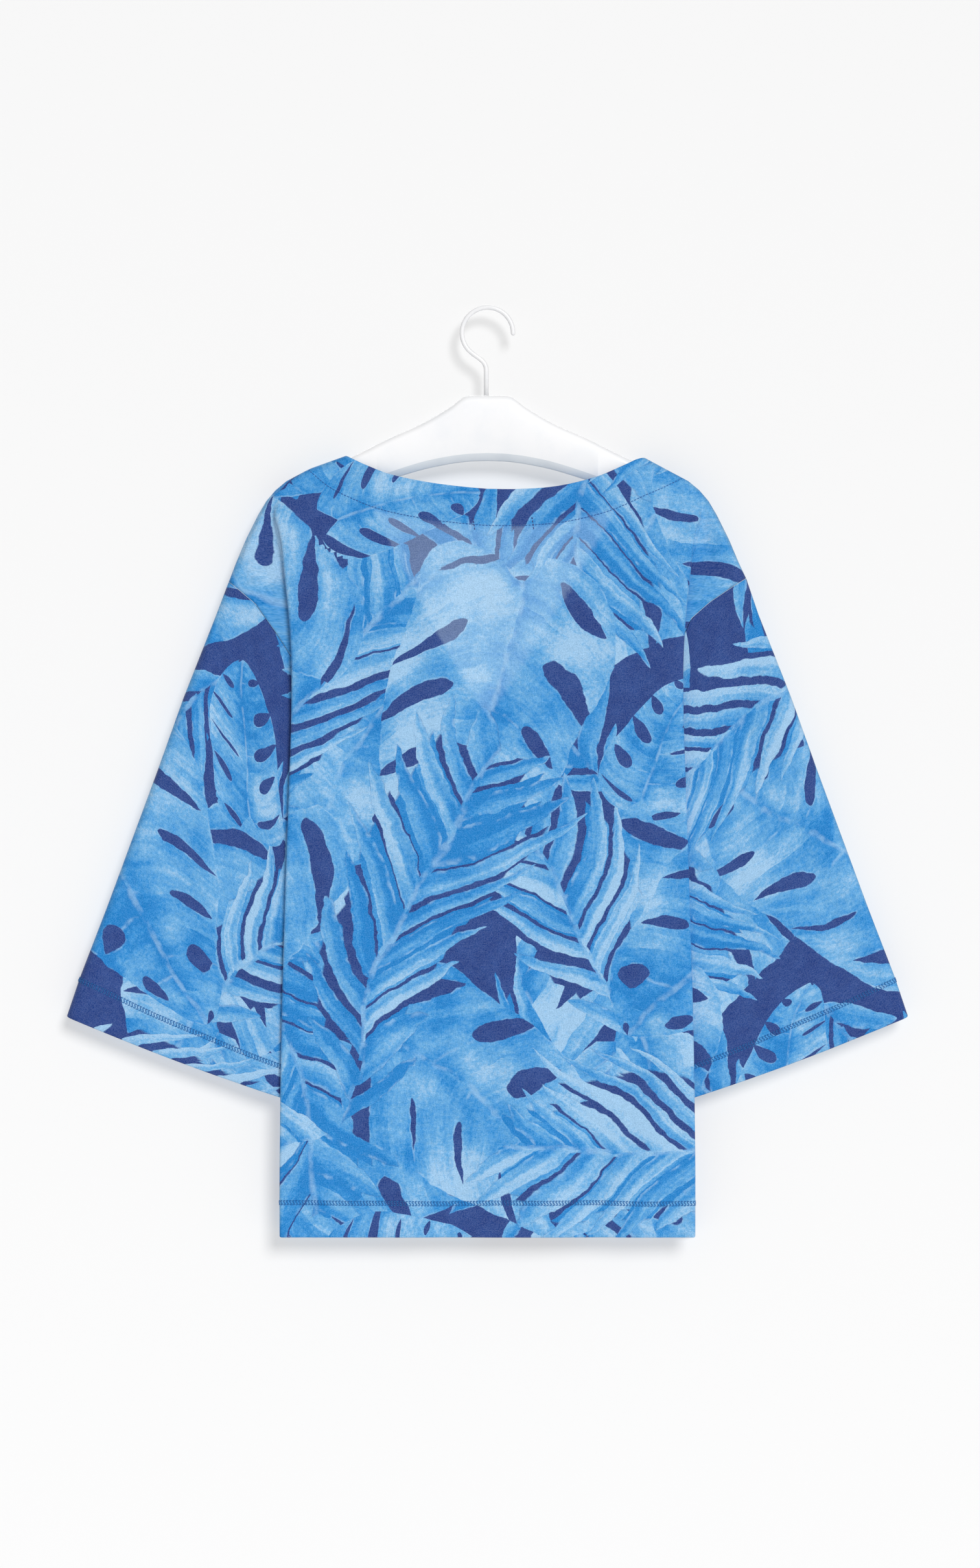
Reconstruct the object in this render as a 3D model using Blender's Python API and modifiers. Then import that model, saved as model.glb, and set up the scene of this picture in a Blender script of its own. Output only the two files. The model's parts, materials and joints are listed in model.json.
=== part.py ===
"""A linen blouse with wide elbow-length sleeves, hanging back to front on a flat plastic hanger.

The back panel faces -Y and the front panel faces +Y. The origin is the top of the inside of the
hook, where the hanger hangs. Each body panel runs from its centre to a folded side edge, turns back
under itself into a deep pleat, and turns out again to the sleeve. The sleeves lie in those pleats.
"""

import math
from collections import namedtuple

import bmesh
import bpy

MM = 0.001

# --- driving dimensions, in millimetres ---------------------------------------------------------

CLOTH_WALL = 1.2
SEAM_GAP = 0.3
SIDE_SEAM_DEPTH = 0.2      # of a panel's edge along the side seam
ARMHOLE_GAP = 0.36         # along the middle of the cloth; 0.3 between its tilted edges
SHOULDER_SEAM_DEPTH = 0.47  # of a panel's edge there, which tilts as it rounds over the shoulder
UNDERARM_GAP = 2.4         # where four seams meet
UNDERARM_GAP_START = 0.8   # share of the way along the armhole where that gap begins to widen
UNDERARM_OPENING = 1.3     # how late the pleat's bottom opens out to the side seam

HEM_HEIGHT = -760.5        # the hook's inside is at height 0
UNDERARM_HEIGHT = -400.7   # where the side seam, the armhole and the sleeve seam meet
UNDERARM_REACH = 75.4      # from the centre plane, deep inside the side pleat
V_NECK_HEIGHT = -334.0     # bottom of the front V
V_NECK_CURVE = 1.12        # 1 would be a V with straight sides

BODY_DEPTH = 13.4          # of the outer layer, from the plane between front and back
PLEAT_DEPTH = 9.4          # of the layer that turns back under it
SLEEVE_DEPTH = 5.4         # of the sleeve and the dropped shoulder
ARMHOLE_LENGTH = 223.0     # of its seam, front or back
HANGER_COVER_DEPTH = 8.0   # of the cloth where it wraps the hanger's arms
SHOULDER_ROUND = 8.0       # height over which the cloth rounds over a shoulder
BODY_FILL_HEIGHT = 35.0    # below a shoulder, where the body reaches its full depth
UNDERARM_ROUND = 20.0      # length over which a sleeve closes at its seam
RIDGE_SLOPE = 0.42         # of the hanger's arms inside the neck opening

NeckPoint = namedtuple("NeckPoint", "reach height")
NECK_POINT = {-1: NeckPoint(116.2, -120.5), 1: NeckPoint(129.0, -122.1)}

# Back neckline: share of the way from the centre to the neck point, height left, height right.
NeckRow = namedtuple("NeckRow", "share left right")
BACK_NECKLINE = (
    NeckRow(0.00, -148.3, -148.3),
    NeckRow(0.20, -146.2, -148.4),
    NeckRow(0.45, -142.2, -145.8),
    NeckRow(0.70, -135.8, -138.0),
    NeckRow(0.85, -128.8, -129.6),
    NeckRow(0.95, -123.4, -123.6),
    NeckRow(1.00, -120.5, -122.1),
)

# Outer edge of the shoulder, from beside the neck down to the top of the armhole.
EdgeRow = namedtuple("EdgeRow", "reach height")
SHOULDER_EDGE = (
    EdgeRow(146.0, -131.2),
    EdgeRow(165.0, -141.3),
    EdgeRow(174.0, -148.8),
    EdgeRow(181.5, -157.6),
    EdgeRow(188.2, -169.0),
    EdgeRow(198.4, -189.5),
    EdgeRow(206.4, -208.5),
)

# Armhole seam, from the top of the shoulder edge down into the pleat.
ARMHOLE = {
    -1: (
        EdgeRow(212.3, -224.0),
        EdgeRow(204.8, -229.8),
        EdgeRow(190.5, -242.0),
        EdgeRow(173.5, -265.9),
        EdgeRow(160.8, -285.5),
        EdgeRow(UNDERARM_REACH, UNDERARM_HEIGHT),
    ),
    1: (
        EdgeRow(212.3, -221.0),
        EdgeRow(200.5, -228.4),
        EdgeRow(182.4, -240.6),
        EdgeRow(167.2, -254.1),
        EdgeRow(158.9, -272.5),
        EdgeRow(UNDERARM_REACH, UNDERARM_HEIGHT),
    ),
}

# Side pleat, top to bottom: reach of its folded outer edge and of its deepest line.
PleatRow = namedtuple("PleatRow", "height fold valley")
PLEAT = (
    PleatRow(-144.0, 169.0, 182.5),
    PleatRow(-157.6, 173.8, 182.0),
    PleatRow(-168.0, 174.4, 179.8),
    PleatRow(-180.0, 171.4, 174.4),
    PleatRow(-195.0, 168.4, 166.4),
    PleatRow(-218.0, 166.0, 155.0),
    PleatRow(-250.0, 162.6, 140.2),
    PleatRow(-285.0, 160.4, 125.0),
    PleatRow(-330.0, 160.3, 105.6),
    PleatRow(-374.0, 161.6, 86.6),
    PleatRow(-400.7, 162.6, 75.4),
    PleatRow(-409.0, 162.9, 72.4),
    PleatRow(-480.0, 165.3, 73.4),
    PleatRow(-590.0, 168.4, 76.0),
    PleatRow(-700.0, 169.9, 79.0),
    PleatRow(-760.5, 169.9, 80.0),
)

# Crown fold of a sleeve, from the armhole to the cuff.
SLEEVE_CROWN = (
    EdgeRow(222.6, -251.0),
    EdgeRow(249.6, -319.5),
    EdgeRow(271.2, -380.0),
    EdgeRow(312.2, -490.9),
    EdgeRow(334.6, -549.0),
    EdgeRow(345.2, -580.5),
)
CUFF_INNER = EdgeRow(137.5, -657.0)
CUFF_BOW = 3.0             # how far the cuff's edge bows below a straight line

# --- sampling of the surfaces -------------------------------------------------------------------

SHOULDER_ROUND_SHARE = 0.032
TOP_ROWS = (0.0, 0.0028, 0.0146, SHOULDER_ROUND_SHARE, 0.07, 0.095, 0.12, 0.18, 0.28, 0.40, 0.55)
UNDERARM_ROWS = (0.72, 0.82, 0.91, 0.97, 1.0)
UPPER_ROWS = TOP_ROWS + UNDERARM_ROWS
LOWER_ROWS = (0.03, 0.30, 0.65, 1.0)
SLEEVE_ROWS = (0.0, 0.05, 0.18, 0.36, 0.57, 0.79, 1.0)
NECK_SHARES = (0.0, 0.3, 0.6, 0.84, 0.95, 0.985, 1.0)
SHOULDER_STEPS = 3
TURN_STEPS = 3
PLEAT_STEPS = 2
WING_STEPS = 3
PLEAT_MARGIN = 6.0         # of flat cloth kept beside a turn
WING_MARGIN_SHARE = 0.35
BEZIER_QUARTER = 0.552     # handle length of a quarter round
PLEAT_START = 0.01         # share of the way down to the underarm where the pleat begins to sink in
PLEAT_GROWTH = 0.08        # share over which it sinks in
EDGE_FADE = 3              # how fast the curve of a piece's edge fades into the piece
SMALLEST_GAP = 0.001
SEAM_LOOK = 0.02           # share of the armhole over which its direction is taken

# --- hanger -------------------------------------------------------------------------------------

# Half outline of the moulded body: reach, top, lower edge of the face, underside, half thickness.
HangerRow = namedtuple("HangerRow", "reach top face_end underside half_depth")
HANGER_ROWS = (
    HangerRow(0.0, -70.6, -118.3, -124.2, 5.5),
    HangerRow(14.0, -70.6, -118.8, -124.7, 5.5),
    HangerRow(20.0, -71.9, -119.4, -125.3, 5.5),
    HangerRow(31.0, -80.2, -120.8, -126.8, 5.5),
    HangerRow(53.0, -93.1, -125.4, -131.4, 5.5),
    HangerRow(82.0, -106.2, -134.5, -140.2, 5.5),
    HangerRow(115.0, -122.3, -146.5, -151.0, 5.5),
    HangerRow(146.0, -132.4, -153.8, -157.6, 5.2),
    HangerRow(160.0, -139.6, -157.0, -160.0, 4.8),
    HangerRow(167.0, -144.7, -157.6, -160.0, 4.2),
    HangerRow(170.5, -149.4, -156.0, -157.8, 3.2),
)
HOOK_WIRE_RADIUS = 2.0
HOOK_RADIUS = 21.0         # to the middle of the wire
HOOK_TIP_ANGLE = -6.0
HOOK_NECK_ANGLE = 214.0
HOOK_STEM_REACH = -1.0
HOOK_STEM_BEND = -50.0
HOOK_ARC_POINTS = 26
HOOK_NECK_POINTS = 9

COLLECTION_NAME = "linen_blouse_on_hanger"

Finish = namedtuple("Finish", "colour roughness metallic")
LINEN = Finish((0.11, 0.30, 0.68, 1.0), 0.85, 0.0)
WHITE_PLASTIC = Finish((0.83, 0.84, 0.86, 1.0), 0.35, 0.0)
COATED_WIRE = Finish((0.86, 0.86, 0.87, 1.0), 0.3, 0.0)


# --- curves -------------------------------------------------------------------------------------

def mix(start, end, share):
    return start + (end - start) * share


def ease(share):
    share = min(max(share, 0.0), 1.0)
    return share * share * (3.0 - 2.0 * share)


def table_value(rows, key, column, at):
    """Value of a column at a key, along a smooth curve through the table's rows."""
    keys = [getattr(row, key) for row in rows]
    values = [getattr(row, column) for row in rows]
    if keys[0] > keys[-1]:
        keys.reverse()
        values.reverse()
    at = min(max(at, keys[0]), keys[-1])
    i = 0
    while i < len(keys) - 2 and at > keys[i + 1]:
        i += 1

    def slope(j):
        low = max(j - 1, 0)
        high = min(j + 1, len(keys) - 1)
        return (values[high] - values[low]) / (keys[high] - keys[low])

    step = keys[i + 1] - keys[i]
    t = (at - keys[i]) / step
    rise = values[i + 1] - values[i]
    bend_in = slope(i) * step - rise
    bend_out = rise - slope(i + 1) * step
    return mix(values[i], values[i + 1], t) + t * (1 - t) * ((1 - t) * bend_in + t * bend_out)


def at_share(rows, share):
    """Point (reach, height) at a share of the length of the line through the rows."""
    lengths = [math.dist(a, b) for a, b in zip(rows, rows[1:])]
    left = share * sum(lengths)
    i = 0
    while i < len(lengths) - 1 and left > lengths[i]:
        left -= lengths[i]
        i += 1
    t = left / lengths[i]
    return mix(rows[i][0], rows[i + 1][0], t), mix(rows[i][1], rows[i + 1][1], t)


def bezier_point(corners, t):
    weights = ((1 - t) ** 3, 3 * t * (1 - t) ** 2, 3 * t * t * (1 - t), t ** 3)
    return tuple(sum(weight * corner[axis] for weight, corner in zip(weights, corners)) for axis in (0, 1))


def rounded(share):
    """Height of a quarter round at a share of its run."""
    share = min(max(share, 0.0), 1.0)
    return math.sqrt(1.0 - (1.0 - share) ** 2)


# --- body panels --------------------------------------------------------------------------------

def neckline_height(side, share, is_front):
    tip = NECK_POINT[side].height
    if is_front:
        return mix(V_NECK_HEIGHT, tip, share ** V_NECK_CURVE)
    return table_value(BACK_NECKLINE, "share", "left" if side < 0 else "right", share)


def body_depth(below_ridge):
    """Depth of the outer layer at a distance below the ridge of the shoulder."""
    wrap = HANGER_COVER_DEPTH * rounded(below_ridge / SHOULDER_ROUND)
    fill = (below_ridge - SHOULDER_ROUND) / (BODY_FILL_HEIGHT - SHOULDER_ROUND)
    return max(wrap + (BODY_DEPTH - HANGER_COVER_DEPTH) * ease(fill), SHOULDER_SEAM_DEPTH)


def wing_depth(share):
    """Depth of the dropped shoulder, which is also the depth of the sleeve at the armhole."""
    near_top = rounded(share / SHOULDER_ROUND_SHARE)
    near_seam = rounded((1.0 - share) * ARMHOLE_LENGTH / UNDERARM_ROUND)
    edge = SHOULDER_SEAM_DEPTH if share < 0.5 else SIDE_SEAM_DEPTH
    return max(SLEEVE_DEPTH * near_top * near_seam, edge)


def shoulder_line(side):
    tip = NECK_POINT[side]
    return [EdgeRow(tip.reach, tip.height), *SHOULDER_EDGE, ARMHOLE[side][0]]


def line_height(rows, reach):
    for start, end in zip(rows, rows[1:]):
        if reach <= end.reach:
            break
    return mix(start.height, end.height, (reach - start.reach) / (end.reach - start.reach))


def respaced(points, weight):
    """The points of a path, moved along it towards even spacing; weight 1 leaves them as they are."""
    runs = [0.0]
    for a, b in zip(points, points[1:]):
        runs.append(runs[-1] + math.dist(a, b))
    total = runs[-1]
    moved = []
    for i in range(len(points)):
        run = mix(total * i / (len(points) - 1), runs[i], weight)
        j = 0
        while j < len(runs) - 2 and run > runs[j + 1]:
            j += 1
        length = runs[j + 1] - runs[j]
        t = (run - runs[j]) / length if length > 0 else 0.0
        moved.append((mix(points[j][0], points[j + 1][0], t), mix(points[j][1], points[j + 1][1], t)))
    return moved


def turn_points(reach, depth, radius, first_angle, last_angle):
    """Points round a turn of the cloth about a middle point, as (reach, depth)."""
    points = []
    for i in range(TURN_STEPS + 1):
        angle = mix(first_angle, last_angle, i / TURN_STEPS)
        points.append((reach + radius * math.sin(angle), depth + radius * math.cos(angle)))
    return points


def pleat_path(start, fold, valley, end, outer, inner):
    """Section of the pleat as (reach, depth): out, round the fold, back, round the valley, out."""
    radius = (outer - inner) / 4.0
    gap = max(valley - fold + 2.0 * radius, SMALLEST_GAP)
    turn = 2.0 * math.atan(2.0 * radius / gap)
    path = [(start, outer)]
    path += turn_points(fold - radius, outer - radius, radius, 0.0, turn)
    back = turn_points(valley + radius, inner + radius, -radius, turn, 0.0)
    left_fold = path[-1]
    for i in range(1, PLEAT_STEPS):
        t = i / PLEAT_STEPS
        path.append((mix(left_fold[0], back[0][0], t), mix(left_fold[1], back[0][1], t)))
    path += back
    path.append((end, inner))
    return respaced(path, turn / math.pi)


def main_points(side, share, height_end, fold, is_front):
    """The flat part of a row, from the centre to beside the fold, as (reach, depth, height)."""
    tip = NECK_POINT[side]
    shoulder = shoulder_line(side)
    top_fold = PLEAT[0].fold
    top_end = top_fold - PLEAT_MARGIN
    points = []
    across_neck = [tip.reach * across for across in NECK_SHARES]
    across_shoulder = [mix(tip.reach, top_end, i / SHOULDER_STEPS) for i in range(1, SHOULDER_STEPS + 1)]
    for reach in across_neck + across_shoulder:
        if reach <= tip.reach:
            top = neckline_height(side, reach / tip.reach, is_front)
            ridge = tip.height + (tip.reach - reach) * RIDGE_SLOPE
        else:
            top = line_height(shoulder, reach)
            ridge = top
        height = mix(top, height_end, share)
        squeeze = (fold - PLEAT_MARGIN) / top_end
        depth = body_depth(ridge - height)
        points.append((reach * squeeze, depth, height))
    return points


def valley_path(valley, seam, opening):
    """Section of the pleat's bottom as (reach, depth), from the layer that turns back to the seam.

    At opening 0 it turns sharply and runs out to the armhole; at 1 it is a quarter round that meets
    the other panel at the side seam.
    """
    round_size = PLEAT_DEPTH - SIDE_SEAM_DEPTH
    turn_size = 0.5 * (PLEAT_DEPTH - SLEEVE_DEPTH)
    first = (valley + mix(turn_size, round_size, opening), PLEAT_DEPTH)
    pull = mix(2.0 * turn_size, BEZIER_QUARTER * round_size, opening)
    push = mix(seam[0] - valley + 0.75 * turn_size, BEZIER_QUARTER * round_size, opening)
    angle = 0.5 * math.pi * opening
    corners = (
        first,
        (first[0] - pull, first[1]),
        (seam[0] - push * math.cos(angle), seam[1] + push * math.sin(angle)),
        seam,
    )
    steps = TURN_STEPS + 1 + WING_STEPS
    return [bezier_point(corners, i / steps) for i in range(steps + 1)]


def open_pleat_path(start, fold, valley, seam, opening):
    """Section of the pleat near and below the underarm: out, round the fold, back, and to the seam."""
    radius = 0.25 * (BODY_DEPTH - SLEEVE_DEPTH)
    path = [(start, BODY_DEPTH)]
    path += turn_points(fold - radius, BODY_DEPTH - radius, radius, 0.0, math.pi)
    left_fold = path[-1][0]
    bottom = valley_path(valley, seam, opening)
    for i in range(1, PLEAT_STEPS):
        t = i / PLEAT_STEPS
        path.append((mix(left_fold, bottom[0][0], t), PLEAT_DEPTH))
    return path + bottom


def upper_row(side, share, is_front):
    """A row of the panel between the shoulder and the underarm, from the centre to the armhole."""
    shoulder = shoulder_line(side)
    fold_top = line_height(shoulder, PLEAT[0].fold)
    valley_top = line_height(shoulder, PLEAT[0].valley)
    fold_height = mix(fold_top, UNDERARM_HEIGHT, share)
    valley_height = mix(valley_top, UNDERARM_HEIGHT, share)
    fold = table_value(PLEAT, "height", "fold", fold_height)
    valley = table_value(PLEAT, "height", "valley", valley_height)
    if share == 0.0:
        fold = PLEAT[0].fold
        valley = PLEAT[0].valley
    seam_reach, seam_height = at_share(ARMHOLE[side], share)
    inner = wing_depth(share)
    main = main_points(side, share, UNDERARM_HEIGHT, fold, is_front)
    outer = main[-1][1]
    inner_turn = mix(outer, SLEEVE_DEPTH, ease((share - PLEAT_START) / PLEAT_GROWTH))
    inner_turn = min(inner_turn, outer - SMALLEST_GAP)
    wing_start = valley + WING_MARGIN_SHARE * (seam_reach - valley)
    opening = max((share - UNDERARM_ROWS[0]) / (1.0 - UNDERARM_ROWS[0]), 0.0) ** UNDERARM_OPENING
    if share < UNDERARM_ROWS[0]:
        path = pleat_path(main[-1][0], fold, valley, wing_start, outer, inner_turn)
        for i in range(1, WING_STEPS + 1):
            t = i / WING_STEPS
            path.append((mix(wing_start, seam_reach, t), mix(inner_turn, inner, ease(t))))
    else:
        path = open_pleat_path(main[-1][0], fold, valley, (seam_reach, inner), opening)

    # the rows near the top follow the shoulder's edge
    edge_fade = (1.0 - share) ** EDGE_FADE
    seam_top = ARMHOLE[side][0]
    edge_start_reach = PLEAT[0].fold - PLEAT_MARGIN
    edge_start = EdgeRow(edge_start_reach, line_height(shoulder, edge_start_reach))
    edge_middle_reach = mix(PLEAT[0].valley, seam_top.reach, WING_MARGIN_SHARE)
    edge_middle = EdgeRow(edge_middle_reach, line_height(shoulder, edge_middle_reach))
    middle_height = mix(valley_height, seam_height, WING_MARGIN_SHARE)
    middle_height = mix(middle_height, edge_middle.height - (valley_top - valley_height), edge_fade)
    points = list(main)
    turns = len(path) - 1 - WING_STEPS
    for i, (reach, depth) in enumerate(path[1:], start=1):
        if i <= turns:
            t = i / turns
            low, high, height = edge_start, edge_middle, mix(main[-1][2], middle_height, t)
        else:
            t = (i - turns) / WING_STEPS
            low, high, height = edge_middle, seam_top, mix(middle_height, seam_height, t)
        bow = line_height(shoulder, mix(low.reach, high.reach, t)) - mix(low.height, high.height, t)
        points.append((reach, depth, height + bow * edge_fade))
    return points


def lower_row(side, share, is_front):
    """A row of the panel between the underarm and the hem, from the centre to the side seam."""
    height = mix(UNDERARM_HEIGHT, HEM_HEIGHT, share)
    fold = table_value(PLEAT, "height", "fold", height)
    valley = table_value(PLEAT, "height", "valley", height)
    main = main_points(side, 1.0, height, fold, is_front)
    path = open_pleat_path(main[-1][0], fold, valley, (valley, SIDE_SEAM_DEPTH), 1.0)
    return main + [(reach, depth, height) for reach, depth in path[1:]]


def panel_rows(is_front):
    """Rows of points of a whole body panel, from its left seam to its right seam."""
    facing = 1.0 if is_front else -1.0
    rows = []
    for shares, half_row in ((UPPER_ROWS, upper_row), (LOWER_ROWS, lower_row)):
        for share in shares:
            left = half_row(-1, share, is_front)
            right = half_row(1, share, is_front)
            row = [(-reach, facing * depth, height) for reach, depth, height in reversed(left)]
            row += [(reach, facing * depth, height) for reach, depth, height in right[1:]]
            rows.append(row)
    return rows


# --- sleeves ------------------------------------------------------------------------------------

def armhole_start(side, share):
    """Sleeve side of the armhole seam: the seam moved out across its own line."""
    reach, height = at_share(ARMHOLE[side], share)
    before = at_share(ARMHOLE[side], max(share - SEAM_LOOK, 0.0))
    after = at_share(ARMHOLE[side], min(share + SEAM_LOOK, 1.0))
    run = math.dist(before, after)
    across = (-(after[1] - before[1]) / run, (after[0] - before[0]) / run)
    gap = mix(ARMHOLE_GAP, UNDERARM_GAP, ease((share - UNDERARM_GAP_START) / (1.0 - UNDERARM_GAP_START)))
    return reach + across[0] * gap, height + across[1] * gap


def sleeve_rings(side):
    """Rings of points of a sleeve, from the armhole to the cuff."""
    crown_line = [armhole_start(side, 0.0), *SLEEVE_CROWN]
    seam_line = [armhole_start(side, 1.0), CUFF_INNER]
    rings = []
    for along in SLEEVE_ROWS:
        crown = at_share(crown_line, along)
        seam = at_share(seam_line, along)
        fade = (1.0 - along) ** EDGE_FADE
        layer = []
        for share in UPPER_ROWS:
            start = armhole_start(side, share)
            straight = [mix(crown_line[0][axis], seam_line[0][axis], share) for axis in (0, 1)]
            cuff_bow = CUFF_BOW * along * math.sin(math.pi * share)
            reach = mix(crown[0], seam[0], share) + (start[0] - straight[0]) * fade
            height = mix(crown[1], seam[1], share) + (start[1] - straight[1]) * fade - cuff_bow
            layer.append((side * reach, wing_depth(share), height))
        crown_point = (layer[0][0], 0.0, layer[0][2])
        seam_point = (layer[-1][0], 0.0, layer[-1][2])
        back = [(x, -depth, z) for x, depth, z in layer[1:-1]]
        front = [(x, depth, z) for x, depth, z in reversed(layer[1:-1])]
        rings.append([crown_point, *back, seam_point, *front])
    return rings


# --- objects ------------------------------------------------------------------------------------

def clear_scene():
    for item in list(bpy.data.objects):
        bpy.data.objects.remove(item, do_unlink=True)


def make_material(name, finish):
    material = bpy.data.materials.new(name)
    material.use_nodes = True
    shader = material.node_tree.nodes["Principled BSDF"]
    shader.inputs["Base Color"].default_value = finish.colour
    shader.inputs["Roughness"].default_value = finish.roughness
    shader.inputs["Metallic"].default_value = finish.metallic
    return material


def add_object(name, data, collection, finish):
    item = bpy.data.objects.new(name, data)
    data.materials.append(make_material(name + "_finish", finish))
    collection.objects.link(item)
    return item


def loft(name, sections, is_ring, caps=False):
    """Surface through sections with equal numbers of points, given in millimetres."""
    mesh = bpy.data.meshes.new(name)
    build = bmesh.new()
    grid = [[build.verts.new([value * MM for value in point]) for point in section] for section in sections]
    count = len(grid[0])
    for upper, lower in zip(grid, grid[1:]):
        for i in range(count if is_ring else count - 1):
            j = (i + 1) % count
            build.faces.new((upper[i], upper[j], lower[j], lower[i]))
    if caps:
        build.faces.new(list(reversed(grid[0])))
        build.faces.new(grid[-1])
    bmesh.ops.recalc_face_normals(build, faces=build.faces)
    build.to_mesh(mesh)
    build.free()
    mesh.shade_smooth()
    return mesh


def give_cloth_wall(item):
    wall = item.modifiers.new("cloth wall", "SOLIDIFY")
    wall.thickness = CLOTH_WALL * MM
    wall.offset = 0.0
    wall.use_even_offset = True
    wall.use_rim = True


def make_panel(name, is_front, collection):
    item = add_object(name, loft(name, panel_rows(is_front), is_ring=False), collection, LINEN)
    give_cloth_wall(item)


def make_sleeve(name, side, collection):
    item = add_object(name, loft(name, sleeve_rings(side), is_ring=True), collection, LINEN)
    give_cloth_wall(item)


def hanger_section(side, row):
    """Section of the hanger's body: round on top, flat faces, and a bevel down to the underside."""
    half = row.half_depth
    shelf = 0.35 * half
    right = []
    round_height = min(half, 0.5 * (row.top - row.face_end))
    for degrees in (0.0, 30.0, 60.0, 90.0):
        angle = math.radians(degrees)
        right.append((half * math.sin(angle), row.top - round_height * (1.0 - math.cos(angle))))
    right.append((half, row.face_end))
    right.append((shelf, row.underside))
    left = [(-depth, height) for depth, height in reversed(right) if depth > 0.0]
    return [(side * row.reach, depth, height) for depth, height in right + left]


def make_hanger_body(collection):
    left = [hanger_section(-1, row) for row in reversed(HANGER_ROWS[1:])]
    right = [hanger_section(1, row) for row in HANGER_ROWS]
    mesh = loft("hanger_body", left + right, is_ring=True, caps=True)
    mesh.set_sharp_from_angle(angle=math.radians(32.0))
    add_object("hanger_body", mesh, collection, WHITE_PLASTIC)


def hook_route():
    """Middle of the wire as (reach, height), from the open tip round to the stem."""
    centre_height = HOOK_WIRE_RADIUS - HOOK_RADIUS
    route = []
    for i in range(HOOK_ARC_POINTS):
        angle = math.radians(mix(HOOK_TIP_ANGLE, HOOK_NECK_ANGLE, i / (HOOK_ARC_POINTS - 1)))
        route.append((HOOK_RADIUS * math.cos(angle), centre_height + HOOK_RADIUS * math.sin(angle)))
    start = route[-1]
    heading = (-math.sin(angle), math.cos(angle))
    end = (HOOK_STEM_REACH, HOOK_STEM_BEND)
    pull = 0.4 * math.dist(start, end)
    first = (start[0] + heading[0] * pull, start[1] + heading[1] * pull)
    second = (end[0], end[1] + pull)
    for i in range(1, HOOK_NECK_POINTS + 1):
        route.append(bezier_point((start, first, second, end), i / HOOK_NECK_POINTS))
    route.append((HOOK_STEM_REACH, HANGER_ROWS[0].top + SEAM_GAP))
    return route


def make_hanger_hook(collection):
    curve = bpy.data.curves.new("hanger_hook", "CURVE")
    curve.dimensions = "3D"
    curve.bevel_depth = HOOK_WIRE_RADIUS * MM
    curve.bevel_resolution = 3
    curve.use_fill_caps = True
    route = hook_route()
    spline = curve.splines.new("POLY")
    spline.points.add(len(route) - 1)
    for point, (reach, height) in zip(spline.points, route):
        point.co = (reach * MM, 0.0, height * MM, 1.0)
    add_object("hanger_hook", curve, collection, COATED_WIRE)


def main():
    clear_scene()
    collection = bpy.data.collections.new(COLLECTION_NAME)
    bpy.context.scene.collection.children.link(collection)
    make_panel("back", False, collection)
    make_panel("front", True, collection)
    make_sleeve("sleeve_left", -1, collection)
    make_sleeve("sleeve_right", 1, collection)
    make_hanger_body(collection)
    make_hanger_hook(collection)


main()
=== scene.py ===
# %% [markdown]
# # A leaf-printed linen blouse on its hanger
#
# The model is already built to size, and this lesson gives it its looks. The blouse hangs with its
# back towards us, as flat as it hangs in a shop. We make the cloth again on the same form, much
# finer than the plain solids, and give it soft creases, rows of stitching and a printed pattern.

# %% Load the frame
import json
import math
from collections import namedtuple

import bmesh
import bpy
import numpy as np
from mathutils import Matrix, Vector
from mathutils.bvhtree import BVHTree

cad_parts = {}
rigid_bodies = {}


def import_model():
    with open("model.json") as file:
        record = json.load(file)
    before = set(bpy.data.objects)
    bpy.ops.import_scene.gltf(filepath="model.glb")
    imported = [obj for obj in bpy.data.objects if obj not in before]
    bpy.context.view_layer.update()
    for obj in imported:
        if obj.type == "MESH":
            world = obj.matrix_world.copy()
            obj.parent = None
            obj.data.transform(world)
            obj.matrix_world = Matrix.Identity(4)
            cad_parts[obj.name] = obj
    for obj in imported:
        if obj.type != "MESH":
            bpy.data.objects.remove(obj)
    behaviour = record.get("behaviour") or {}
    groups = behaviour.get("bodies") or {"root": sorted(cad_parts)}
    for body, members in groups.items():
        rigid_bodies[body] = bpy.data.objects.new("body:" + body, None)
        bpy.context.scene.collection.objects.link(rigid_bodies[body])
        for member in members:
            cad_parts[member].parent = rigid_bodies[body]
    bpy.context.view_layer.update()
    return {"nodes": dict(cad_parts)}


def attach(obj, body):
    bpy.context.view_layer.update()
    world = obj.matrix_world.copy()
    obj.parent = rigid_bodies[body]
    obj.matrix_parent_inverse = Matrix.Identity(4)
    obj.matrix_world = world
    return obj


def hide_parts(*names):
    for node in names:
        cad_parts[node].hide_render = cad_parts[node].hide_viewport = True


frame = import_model()
MM = 0.001
print("nodes in the frame:", sorted(frame["nodes"]))

# %% [markdown]
# ## The camera
#
# The photograph was taken straight on from far away. A long lens at chest height does that, and its
# distance is worked out so that the picture is exactly as wide as the real scene was.

# %% Place the camera
PICTURE = (1512, 2420)             # pixels of the photograph
PIXEL = 0.5307                     # real millimetres across one of them, at the blouse
HOOK_PIXEL = (752, 475)            # where the inside of the hook's top is
LENS = 85.0
SENSOR = 36.0                      # along the picture's longer side
CLOTH_FACE = -13.4                 # depth of the back of the blouse

camera_data = bpy.data.cameras.new("camera")
camera_data.lens = LENS
camera_data.sensor_width = SENSOR
camera = bpy.data.objects.new("camera", camera_data)
middle = (PICTURE[0] / 2 - HOOK_PIXEL[0], HOOK_PIXEL[1] - PICTURE[1] / 2)
away = PICTURE[1] * PIXEL * LENS / SENSOR
camera.location = (middle[0] * PIXEL * MM, (CLOTH_FACE - away) * MM, middle[1] * PIXEL * MM)
camera.rotation_euler = (math.radians(90), 0, 0)
bpy.context.scene.collection.objects.link(camera)
bpy.context.scene.camera = camera
print(f"the camera stands {away * MM:.2f} m away")

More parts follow.
